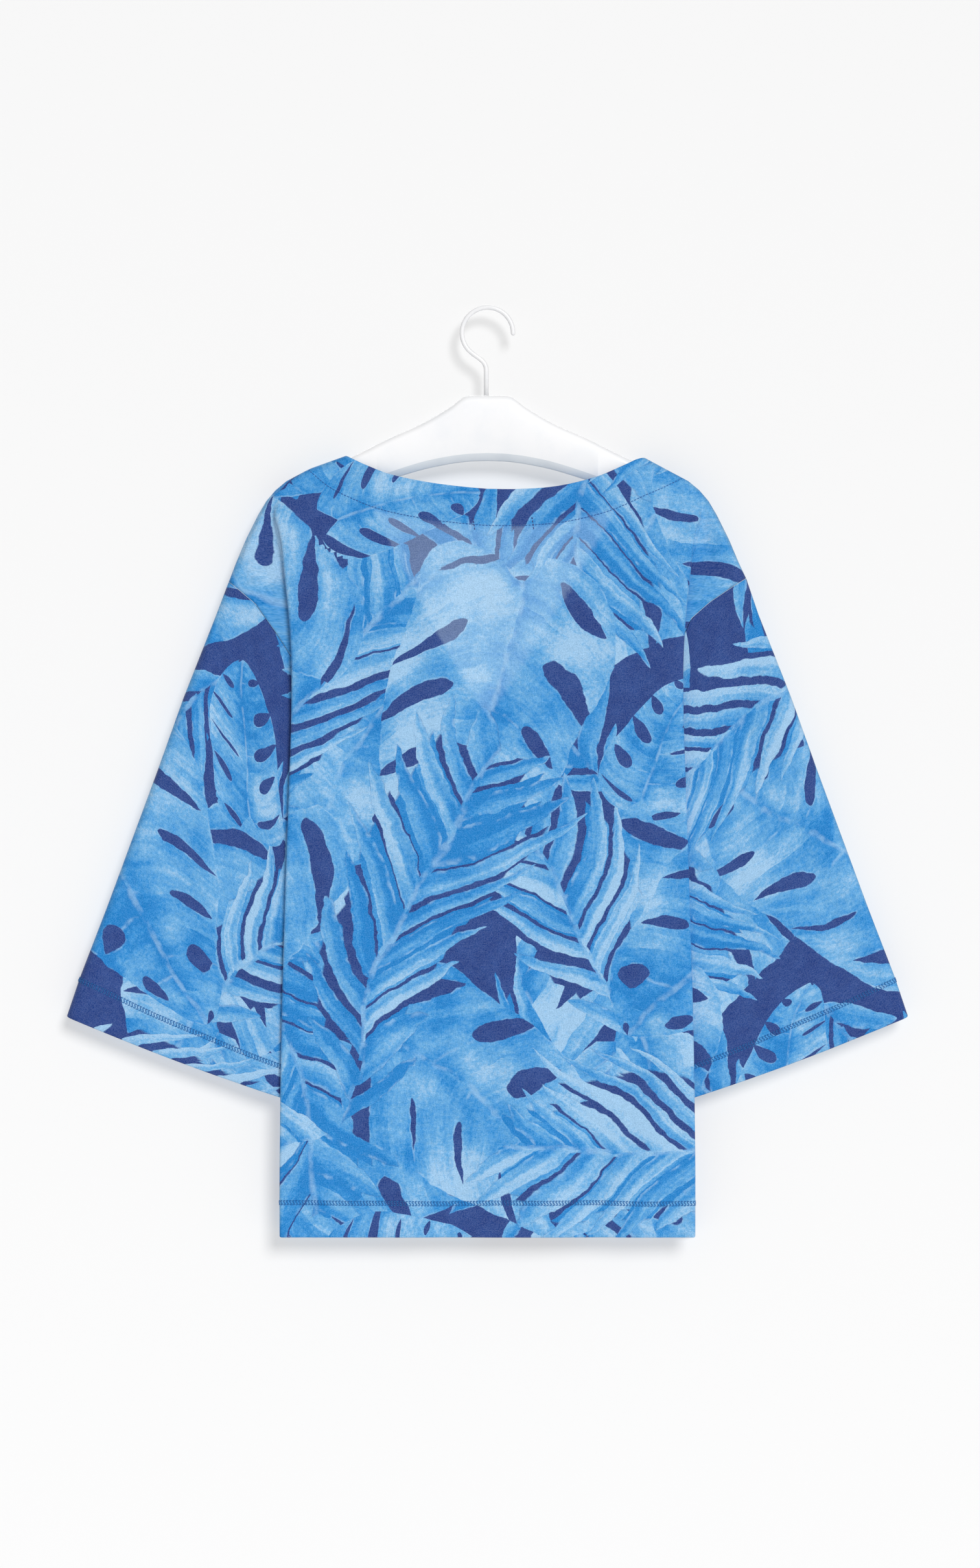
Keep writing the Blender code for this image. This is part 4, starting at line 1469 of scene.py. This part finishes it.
def soft_step(tree, value, low, high):
    inputs = {"Value": value, "From Min": low, "From Max": high}
    return Output(add_node(tree, "ShaderNodeMapRange", inputs, interpolation_type="SMOOTHSTEP"))


def separate(tree, vector):
    node = add_node(tree, "ShaderNodeSeparateXYZ", {0: vector})
    return [Output(node, place) for place in range(3)]


def mixed(tree, factor, first, second):
    """Mix two colours."""
    return Output(add_node(tree, "ShaderNodeMix", {0: factor, 6: first, 7: second}, data_type="RGBA"), 2)


def noise(tree, vector, scale, detail=2.0, roughness=0.55):
    inputs = {"Vector": vector, "Scale": scale, "Detail": detail, "Roughness": roughness}
    return Output(add_node(tree, "ShaderNodeTexNoise", inputs))


def chance(tree, x, y):
    """Three random numbers for a pair of whole numbers."""
    pair = {"Vector": combine(tree, x, y)}
    node = add_node(tree, "ShaderNodeTexWhiteNoise", pair, noise_dimensions="2D")
    return separate(tree, Output(node, "Color"))


# %% A leaf with slits between its ribs
SHAPE_OUTPUTS = (
    ("Cover", "NodeSocketFloat"),      # 1 on the leaf and in its slits
    ("Paint", "NodeSocketFloat"),      # 0 in the slits, where the ground shows
    ("Rib", "NodeSocketFloat"),        # counts the ribs along the midrib
    ("Reach", "NodeSocketFloat"),      # 0 at the midrib, 1 at the outline
    ("Blade", "NodeSocketFloat"),      # a whole number for each stretch between two ribs
    ("Edge", "NodeSocketFloat"),       # distance to the nearest edge, in leaf lengths
)
INK_EDGE = 0.0032          # softness of a printed edge, in leaf lengths


def split_leaf_shape():
    tree, start = new_group("split leaf", "ShaderNodeTree", (
        ("Leaf", "NodeSocketVector", None),
        ("Ribs", "NodeSocketFloat", 5.0),
        ("Half Width", "NodeSocketFloat", HALF_WIDTHS["split"]),
        ("Heart", "NodeSocketFloat", 0.13),
    ), SHAPE_OUTPUTS)
    side, along, number_given = separate(tree, start["Leaf"])
    leaf_number = calc(tree, "ROUND", number_given)
    ribs, heart = start["Ribs"], start["Heart"]
    off = abs(side)
    right = side > 0.0

    # The outline is an oval, blunt at its base, with a notch where the stalk joins.
    whole = clamped((along + heart) / (heart + 1.0), 0.0001, 0.9999)
    half = (1.0 - whole) ** 0.62 * whole ** 0.3 * (start["Half Width"] * 1.79)
    reach = off / half
    notch = highest(-0.01 - along, 0.0) * -0.9 + (off + 0.012)
    outline = lowest(half - off, notch)
    inside = (along + heart > 0.0) * (along < 1.0)
    cover = soft_step(tree, outline, 0.0, INK_EDGE) * inside

    # The ribs bend towards the tip, and a blade is the stretch between two of them.
    rib = ribs * (whole - off * (off * 1.3 + 0.15)) + (right * 0.3 + 0.2)
    number = calc(tree, "FLOOR", rib)
    blade = number * 2.0 + right

    # A slit opens in each blade. Its start, end and width are left to chance.
    random = chance(tree, blade, leaf_number)
    slit_start = random[0] * 0.28 + 0.22
    slit_end = random[1] * 0.42 + 0.80
    run = clamped((reach - slit_start) / (slit_end - slit_start), 0.0, 1.0)
    slit = run ** 0.45 * (1.0 - run) ** 0.8 * (random[2] * 0.073 + 0.033)
    gap = abs(rib - number - 0.5) / ribs - slit + 0.003
    paint = soft_step(tree, gap, 0.0, INK_EDGE)
    add_node(tree, "NodeGroupOutput", {"Cover": cover, "Paint": paint, "Rib": rib, "Reach": reach,
                                       "Blade": blade, "Edge": lowest(gap, outline)})
    return tree


# %% A frond of long blades
def frond_shape():
    tree, start = new_group("frond", "ShaderNodeTree", (
        ("Leaf", "NodeSocketVector", None),
        ("Ribs", "NodeSocketFloat", 6.0),
        ("Half Width", "NodeSocketFloat", HALF_WIDTHS["frond"]),
        ("Hull", "NodeSocketFloat", 0.72),
        ("Open Gaps", "NodeSocketFloat", 0.6),
    ), SHAPE_OUTPUTS)
    side, along, number_given = separate(tree, start["Leaf"])
    leaf_number = calc(tree, "ROUND", number_given)
    ribs = start["Ribs"]
    off = abs(side)
    right = side > 0.0

    # Blades leave the midrib at a slant, with uneven distances between them.
    root = along - off * (off * 0.35 + 1.05)
    uneven = noise(tree, combine(tree, root, right, leaf_number), 2.6, 1.0)
    rib = ribs * root + (uneven * 2.0 - 1.0) + (right * 0.5 + 1.5)
    number = calc(tree, "FLOOR", rib)
    blade = number * 2.0 + right
    random = chance(tree, blade, leaf_number)

    # They are longest in the frond's middle, and each has its own length and width.
    position = clamped((number - 0.2) / (ribs + 0.6), 0.0, 1.0)
    swell = highest(calc(tree, "SINE", (position * 0.84 + 0.10) * math.pi), 0.001) ** 0.55
    length = highest(swell * (random[0] * 0.30 + 0.78) * start["Half Width"], 0.005)
    reach = off / length
    half = highest(1.0 - reach, 0.0) ** 0.66 * (reach * 0.40 + 0.40) * (random[1] * 0.35 + 0.80)
    inner = (half - abs(rib - number - 0.5)) * 0.7 / ribs
    is_blade = (reach < 1.0) * ((number > -0.5) * (number < ribs + 0.9))
    inner = (inner + 1.0) * is_blade - 1.0
    stem = (1.0105 - off) * ((along > -0.06) * (along < 0.97)) - 1.0
    solid = highest(inner, stem)

    # Near the midrib, some gaps between blades show the ground and the others are painted over.
    hull = ((start["Hull"] - reach) * 0.1 + 1.0) * (is_blade * ((along > 0.0) * (along < 1.0))) - 1.0
    cover = soft_step(tree, highest(solid, hull), 0.0, INK_EDGE)
    painted_over = random[2] > start["Open Gaps"]
    paint = highest(soft_step(tree, solid, 0.0, INK_EDGE), cover * painted_over)
    add_node(tree, "NodeGroupOutput", {"Cover": cover, "Paint": paint, "Rib": rib, "Reach": reach,
                                       "Blade": blade, "Edge": solid})
    return tree


leaf_shapes = {"split": split_leaf_shape(), "frond": frond_shape()}
print("leaf shapes:", {name: len(tree.nodes) for name, tree in leaf_shapes.items()})

# %% [markdown]
# ## Watercolour
#
# The leaves were painted wet. Colour pools into clouds, runs in streaks along the ribs, gathers at
# edges and stays pale where the brush lifted. Every one of those is noise, laid in a direction that
# the leaf knows: clouds in the cloth's own plane, streaks along each blade.

# %% Watercolour in four blues
def srgb(red, green, blue):
    """A screen colour as the linear one that shaders use."""
    values = [value / 255 for value in (red, green, blue)]
    return (*[v / 12.92 if v <= 0.04045 else ((v + 0.055) / 1.055) ** 2.4 for v in values], 1.0)


BLUES = (                  # from bare brush to a full one
    (0.0, srgb(154, 194, 227)),
    (0.36, srgb(104, 168, 217)),
    (0.78, srgb(57, 141, 207)),
    (1.0, srgb(36, 127, 197)),
)
INDIGO = (srgb(44, 68, 130), srgb(53, 79, 141))


def watercolour():
    tree, start = new_group("watercolour", "ShaderNodeTree", (
        ("Cloth", "NodeSocketVector", None),
        ("Leaf", "NodeSocketVector", None),
        ("Rib", "NodeSocketFloat", 0.0),
        ("Reach", "NodeSocketFloat", 0.0),
        ("Blade", "NodeSocketFloat", 0.0),
        ("Edge", "NodeSocketFloat", 0.0),
        ("Tone", "NodeSocketFloat", 0.5),
        ("Clouds", "NodeSocketFloat", 1.7),
        ("Streaks", "NodeSocketFloat", 1.2),
        ("Strokes", "NodeSocketFloat", 0.3),
        ("Two Sided", "NodeSocketFloat", 0.0),
    ), (("Color", "NodeSocketColor"),))
    side, _, number_given = separate(tree, start["Leaf"])
    number = calc(tree, "ROUND", number_given)
    moved = vector_calc(tree, "ADD", start["Cloth"], combine(tree, number, number * 0.37))
    rib, reach, blade, edge = (start[title] for title in ("Rib", "Reach", "Blade", "Edge"))
    stroke = combine(tree, rib * 3.4 + number, reach * 1.3, blade * 0.71)
    hair = combine(tree, rib * 21.0, reach * 3.0, blade * 0.71)
    random = chance(tree, blade + 40.0, number)
    near_edge = 1.0 - soft_step(tree, edge, 0.0, 0.055)
    tone = start["Tone"]
    for value, middle, share in (
        (noise(tree, moved, 20.0, 3.0), 0.5, start["Clouds"]),
        (noise(tree, stroke, 1.0, 3.0, 0.6), 0.5, start["Streaks"]),
        (noise(tree, hair, 1.0, 2.0, 0.6), 0.5, 0.34),
        (noise(tree, moved, 330.0, 3.0, 0.75), 0.5, 1.1),          # the threads' unevenness
        (random[0], 0.5, start["Strokes"]),                        # one stroke for each blade
        (soft_step(tree, calc(tree, "FRACT", rib), 0.38, 0.62), 0.5, start["Two Sided"]),
        (chance(tree, number, 7.0)[0], 0.5, 0.5),                  # the whole leaf
        (edge < 0.0, 0.0, 0.45),                                   # gaps that are painted over
        (near_edge * (random[1] - 0.3), 0.0, 0.5),
        (1.0 - soft_step(tree, reach, 0.0, 0.32), 0.0, 0.28),      # beside the midrib
    ):
        tone = tone + (value - middle) * share

    ramp = add_node(tree, "ShaderNodeValToRGB", {0: tone})
    stops = ramp.color_ramp.elements
    for position, _ in BLUES[1:-1]:
        stops.new(position)
    for stop, (position, colour) in zip(stops, BLUES):
        stop.position = position
        stop.color = colour

    lifted_brush = noise(tree, moved, 70.0, 2.0)
    outline = soft_step(tree, edge, -0.002, 0.001) * (1.0 - soft_step(tree, edge, 0.003, 0.011))
    outline = outline * soft_step(tree, lifted_brush, 0.46, 0.62)
    midrib = 1.0 - soft_step(tree, abs(side), 0.003, 0.014)
    midrib = midrib * soft_step(tree, lifted_brush, 0.35, 0.6)
    pale = highest(outline, midrib) * 0.5
    add_node(tree, "NodeGroupOutput", {"Color": mixed(tree, pale, ramp, BLUES[0][1])})
    return tree


painting = watercolour()
print("watercolour nodes:", len(painting.nodes))

# %% [markdown]
# ## Linen
#
# The cloth is a fine linen knit. Close up it is flecked: thin pale slubs run both ways, and the print
# sits unevenly on the threads. The same group serves every piece. It puts out a shade to multiply the
# colour with, a little grey lint to add, and a height for the bump.

# %% Flecks and threads
THREAD_SPACING = 0.62      # millimetres between two threads


def linen_grain():
    tree, start = new_group("linen grain", "ShaderNodeTree", (
        ("Cloth", "NodeSocketVector", None),
        ("Flecks", "NodeSocketFloat", 1.0),
    ), (("Shade", "NodeSocketFloat"), ("Lint", "NodeSocketFloat"),
        ("Height", "NodeSocketFloat"), ("Rough", "NodeSocketFloat")))
    x, y, _ = separate(tree, start["Cloth"])
    across = noise(tree, combine(tree, x * 170.0, y * 1500.0), 1.0, 2.0)
    upright = noise(tree, combine(tree, x * 1500.0, y * 210.0, 4.0), 1.0, 2.0)
    slubs = across + upright
    speckle = noise(tree, start["Cloth"], 1050.0, 2.0, 0.7)
    mottle = noise(tree, start["Cloth"], 210.0, 3.0, 0.6)
    fleck = ((slubs - 1.0) * 0.35 + (speckle - 0.5)) * start["Flecks"]
    turn = 2.0 * math.pi / (THREAD_SPACING * MM)
    threads = calc(tree, "SINE", x * turn) * calc(tree, "SINE", y * turn)
    add_node(tree, "NodeGroupOutput", {
        "Shade": fleck * 0.55 + 1.0 + (mottle - 0.5) * 0.2,
        "Lint": fleck * 0.16,
        "Height": threads * 0.12 + slubs + speckle * 0.5,
        "Rough": mottle * 0.16 + 0.76,
    })
    return tree


grain = linen_grain()
print("linen nodes:", len(grain.nodes))

# %% [markdown]
# ## The printed cloth
#
# Now the screens go down in order over the indigo ground. Where only the back panel hangs in front
# of the wall, inside the front's V neck, its colours are painted paler, as painted backlight that
# stands in for the light coming through the thin cloth. The hem and the facing are two layers and
# stay dense. A mask on the mesh says where.

# %% Where the cloth is a single layer
PAINTED_BACKLIGHT_FADE = 3.0
FACING_LOW = -178.5        # height of the facing's edge in the middle of the back
FACING_RISE = 26.0         # of that edge towards the neck points
FACING_CURVE = 2.2


# The mask says where the painted backlight goes: a paler print standing in for light through the cloth.
def add_painted_backlight_mask(name):
    """1 on the back panel where nothing hangs behind it."""
    mesh = cloth[name].data
    co = np.empty(len(mesh.vertices) * 3, np.float32)
    mesh.vertices.foreach_get("co", co)
    x, _, z = (co.reshape(-1, 3) / MM).T
    tip_reach, tip_height = (np.where(x < 0, NECK_POINT[-1][i], NECK_POINT[1][i]) for i in (0, 1))
    share = np.clip(np.abs(x) / tip_reach, 0.0, 1.0)
    v_line = V_NECK_HEIGHT + (tip_height - V_NECK_HEIGHT) * share ** V_NECK_CURVE
    facing_end = FACING_LOW + FACING_RISE * share ** FACING_CURVE
    mask = fade_in(z, v_line, PAINTED_BACKLIGHT_FADE) * fade_in(facing_end - z, 0.0, PAINTED_BACKLIGHT_FADE) * (name == "back")
    attribute = mesh.attributes.new("painted_backlight_mask", "FLOAT", "POINT")
    attribute.data.foreach_set("value", mask.astype(np.float32))
    print(f"{name}: {np.mean(mask):.0%} of the points are a single layer")


for name in cloth:
    add_painted_backlight_mask(name)

# %% Materials of the cloth
ScreenLook = namedtuple("ScreenLook", "ribs tone clouds streaks strokes two_sided")
SCREEN_LOOKS = (
    ScreenLook(7.5, 0.72, 1.2, 1.0, 0.6, 0.30),
    ScreenLook(5.0, 0.50, 2.1, 1.2, 0.3, 0.0),
    ScreenLook(8.0, 0.46, 1.2, 1.1, 0.6, 0.40),
    ScreenLook(5.0, 0.26, 2.1, 1.2, 0.3, 0.0),
    ScreenLook(8.5, 0.38, 1.2, 1.1, 0.6, 0.40),
)
BRUSH_WOBBLE = (0.030, 0.030, 0.0)     # in leaf lengths; a leaf's number stays as it is
# Painted backlight: a pale blue mixed into the print where a single layer would let light through.
PAINTED_BACKLIGHT = srgb(205, 232, 252)
PAINTED_BACKLIGHT_SHARE = 0.17
REVERSE = srgb(176, 200, 226)          # of the inside, where the print hardly comes through
REVERSE_SHARE = 0.34
BUMP_HEIGHT = 0.05


def place_group(tree, group, **values):
    inputs = {key.replace("_", " "): value for key, value in values.items()}
    return add_node(tree, "ShaderNodeGroup", inputs, node_tree=group).outputs


def print_leaves(tree, cloth_place):
    """The colour of the print: an indigo ground and five screens of leaves."""
    ground = mixed(tree, soft_step(tree, noise(tree, cloth_place, 60.0, 3.0), 0.3, 0.75), *INDIGO)
    colour = ground
    hand = add_node(tree, "ShaderNodeTexNoise", {"Vector": cloth_place, "Scale": 60.0, "Detail": 3.0})
    hand = vector_calc(tree, "SUBTRACT", Output(hand, "Color"), (0.5, 0.5, 0.5))
    hand = vector_calc(tree, "MULTIPLY", hand, BRUSH_WOBBLE)
    for screen, look in zip(SCREENS, SCREEN_LOOKS):
        leaf = add_node(tree, "ShaderNodeAttribute", attribute_name=f"screen_{screen}")
        leaf = vector_calc(tree, "ADD", Output(leaf, "Vector"), hand)
        shape = place_group(tree, leaf_shapes[SCREEN_SHAPES[screen]], Leaf=leaf, Ribs=look.ribs)
        paint = place_group(tree, painting, Cloth=cloth_place, Leaf=leaf, Rib=shape["Rib"],
                            Reach=shape["Reach"], Blade=shape["Blade"], Edge=shape["Edge"],
                            Tone=look.tone, Clouds=look.clouds, Streaks=look.streaks,
                            Strokes=look.strokes, Two_Sided=look.two_sided)
        painted = mixed(tree, shape["Paint"], ground, paint["Color"])
        colour = mixed(tree, shape["Cover"], colour, painted)
    return colour


def shader_of(material):
    material.use_nodes = True
    return material.node_tree, material.node_tree.nodes["Principled BSDF"]


def cloth_material(material, is_inside):
    tree, shader = shader_of(material)
    place = add_node(tree, "ShaderNodeUVMap", uv_map="flat_cloth")
    # Painted backlight: the print is mixed towards a pale blue where the mask marks a single layer.
    painted_backlight_mask = Output(add_node(tree, "ShaderNodeAttribute", attribute_name="painted_backlight_mask"), "Fac")
    colour = mixed(tree, painted_backlight_mask * PAINTED_BACKLIGHT_SHARE, print_leaves(tree, place), PAINTED_BACKLIGHT)
    if is_inside:
        colour = mixed(tree, REVERSE_SHARE, colour, REVERSE)
    linen = place_group(tree, grain, Cloth=place)
    shaded = scaled(tree, colour, linen["Shade"])
    set_inputs(shader, {
        "Base Color": vector_calc(tree, "ADD", shaded, linen["Lint"]),
        "Roughness": linen["Rough"],
        "Normal": add_node(tree, "ShaderNodeBump", {"Distance": BUMP_HEIGHT * MM, "Strength": 0.8,
                                                    "Height": linen["Height"]}),
        "Specular IOR Level": 0.25,
        "Sheen Weight": 0.12,
        "Sheen Roughness": 0.5,
    })


for item in cloth.values():
    cloth_material(item.data.materials[0], False)
    cloth_material(item.data.materials[1], True)
print("nodes in a cloth material:", len(cloth["back"].data.materials[0].node_tree.nodes))

# %% [markdown]
# ## Thread, plastic and wire
#
# Sewing thread is glossier than the cloth and of a deeper, more even blue. The hanger is a satin
# moulding with faint scuffs, and its lower lip is painted greyer: painted shade where its faces look
# down. Its wire has a smooth white coating. One small tree of noise on Object coordinates serves
# them all, with other values for each.

# %% Materials of thread and hanger
def simple_material(material, colours, scale, roughness, bump_height, coat=0.0):
    """A finish with a slightly uneven colour, gloss and surface."""
    tree, shader = shader_of(material)
    place = Output(add_node(tree, "ShaderNodeTexCoord"), "Object")
    uneven = soft_step(tree, noise(tree, place, scale, 3.0), 0.35, 0.7)
    dents = noise(tree, place, scale * 4.0, 2.0)
    set_inputs(shader, {
        "Base Color": mixed(tree, uneven, *colours),
        "Roughness": noise(tree, place, scale * 2.7, 2.0) * 0.12 + (roughness - 0.06),
        "Normal": add_node(tree, "ShaderNodeBump", {"Distance": bump_height * MM, "Height": dents}),
        "Coat Weight": coat,
    })


simple_material(hem_thread, (srgb(4, 84, 150), srgb(20, 110, 180)), 900.0, 0.6, 0.03)
simple_material(neck_thread, (srgb(18, 72, 144), srgb(34, 96, 168)), 900.0, 0.6, 0.03)
simple_material(tack_thread, (srgb(40, 40, 110), srgb(70, 48, 110)), 900.0, 0.6, 0.03)
plastic = bpy.data.materials.new("hanger_plastic")
simple_material(plastic, (srgb(247, 247, 248), srgb(243, 244, 246)), 40.0, 0.36, 0.02)
# The lip is the same plastic painted greyer: painted shade on the faces that look down.
painted_shade_lip = bpy.data.materials.new("hanger_lip_painted_shade")
simple_material(painted_shade_lip, (srgb(219, 224, 229), srgb(212, 218, 224)), 40.0, 0.5, 0.03)
wire = bpy.data.materials.new("hook_coating")
simple_material(wire, (srgb(243, 243, 244), srgb(236, 237, 239)), 60.0, 0.28, 0.015, coat=0.3)
hanger.data.materials.append(plastic)
hanger.data.materials.append(painted_shade_lip)
for face in hanger.data.polygons:
    face.material_index = int(face.normal.z < SHADED_LIP_SLOPE)
hook.data.materials.append(wire)
print("faces of the lip:", sum(face.material_index for face in hanger.data.polygons))

# %% [markdown]
# ## The stage
#
# The photograph has a bright even wall close behind the blouse. Soft light comes from everywhere and
# a little more from the upper right, so shadows are short and fall to the lower left. The wall is
# only there for whoever looks at its front: from behind it is clear, and it throws no light back.

# %% Wall and floor
WALL_DEPTH = 18.0
FLOOR_HEIGHT = -1150.0
STAGE_SIZE = 8.0
STAGE_PAINT = srgb(245, 245, 245)
FLOOR_GLOW = 0.5
WALL_GLOW = 0.43


def stage_plane(name, corners, glow):
    """A plane for the stage. A share of its light comes from itself, which softens the shadows on it."""
    mesh = bpy.data.meshes.new(name)
    mesh.from_pydata(corners, [], [(0, 1, 2, 3)])
    item = bpy.data.objects.new(name, mesh)
    bpy.context.scene.collection.objects.link(item)
    material = bpy.data.materials.new(name + "_paint")
    mesh.materials.append(material)
    set_inputs(shader_of(material)[1], {
        "Base Color": [value * (1.0 - glow) for value in STAGE_PAINT[:3]] + [1.0],
        "Roughness": 1.0,
        "Specular IOR Level": 0.0,
        "Emission Color": STAGE_PAINT,
        "Emission Strength": glow,
    })
    return item


def choose_shader(tree, output, mask, otherwise, chosen):
    """Show one shader or, where a mask is 1, another."""
    choose = add_node(tree, "ShaderNodeMixShader", {0: mask, 1: otherwise, 2: chosen})
    set_inputs(tree.nodes[output], {"Surface": choose})


half_stage = 0.5 * STAGE_SIZE
floor_z = FLOOR_HEIGHT * MM
wall_y = WALL_DEPTH * MM
floor = stage_plane("floor", [(-half_stage, -half_stage, floor_z), (half_stage, -half_stage, floor_z),
                              (half_stage, half_stage, floor_z), (-half_stage, half_stage, floor_z)],
                    FLOOR_GLOW)
wall = stage_plane("wall", [(-half_stage, wall_y, floor_z), (half_stage, wall_y, floor_z),
                            (half_stage, wall_y, half_stage), (-half_stage, wall_y, half_stage)],
                   WALL_GLOW)
tree = wall.data.materials[0].node_tree
from_behind = Output(add_node(tree, "ShaderNodeNewGeometry"), "Backfacing")
clear = add_node(tree, "ShaderNodeBsdfTransparent")
choose_shader(tree, "Material Output", from_behind, tree.nodes["Principled BSDF"], clear)
wall.visible_shadow = False
wall.visible_diffuse = False
wall.visible_glossy = False
print(f"the wall is {WALL_DEPTH - BODY_DEPTH:.1f} mm behind the front of the blouse")

# %% Light
STUDIO_LIGHT = {"power": 2.05, "angle": 22.0, "direction": (-0.38, 1.0, -0.52)}
REAR_FILL = {"power": 1.6, "angle": 60.0, "direction": (0.3, -1.0, -0.35)}
SKY_POWER = 0.35
SKY_SEEN = srgb(248, 248, 248)


def add_sun(name, power, angle, direction):
    light = bpy.data.lights.new(name, "SUN")
    light.energy = power
    light.angle = math.radians(angle)
    item = bpy.data.objects.new(name, light)
    item.rotation_euler = Vector(direction).to_track_quat("-Z", "Y").to_euler()
    bpy.context.scene.collection.objects.link(item)


add_sun("studio_light", **STUDIO_LIGHT)
add_sun("rear_fill", **REAR_FILL)
world = bpy.data.worlds.new("studio")
bpy.context.scene.world = world
world.use_nodes = True
tree = world.node_tree
sky = tree.nodes["Background"]
set_inputs(sky, {"Strength": SKY_POWER, "Color": (1.0, 1.0, 1.0, 1.0)})
to_camera = Output(add_node(tree, "ShaderNodeLightPath"), "Is Camera Ray")
seen = add_node(tree, "ShaderNodeBackground", {"Color": SKY_SEEN})
choose_shader(tree, "World Output", to_camera, sky, seen)
bpy.context.scene.view_settings.view_transform = "Standard"
print("lights:", sorted(item.name for item in bpy.data.objects if item.type == "LIGHT"))

# %% [markdown]
# ## Hand over
#
# Every piece is attached to the body it moves with, and the plain solid it replaces is hidden. The
# script prints how much cloth each of the four pieces takes. The mesh counts both faces of the
# cloth, so its area is half of what they measure.


def cloth_area(item):
    return 0.5 * sum(face.area for face in item.data.polygons)


for name, item in cloth.items():
    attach(item, "root")
    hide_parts(name)
    for row in stitching[name]:
        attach(row, "root")
    print(f"{name}: {cloth_area(item):.4f} square metres of cloth")

for item, node, slot in ((hanger, "hanger_body", "hanger_plastic"), (hook, "hanger_hook", "hook_wire")):
    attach(item, "root")
    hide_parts(node)
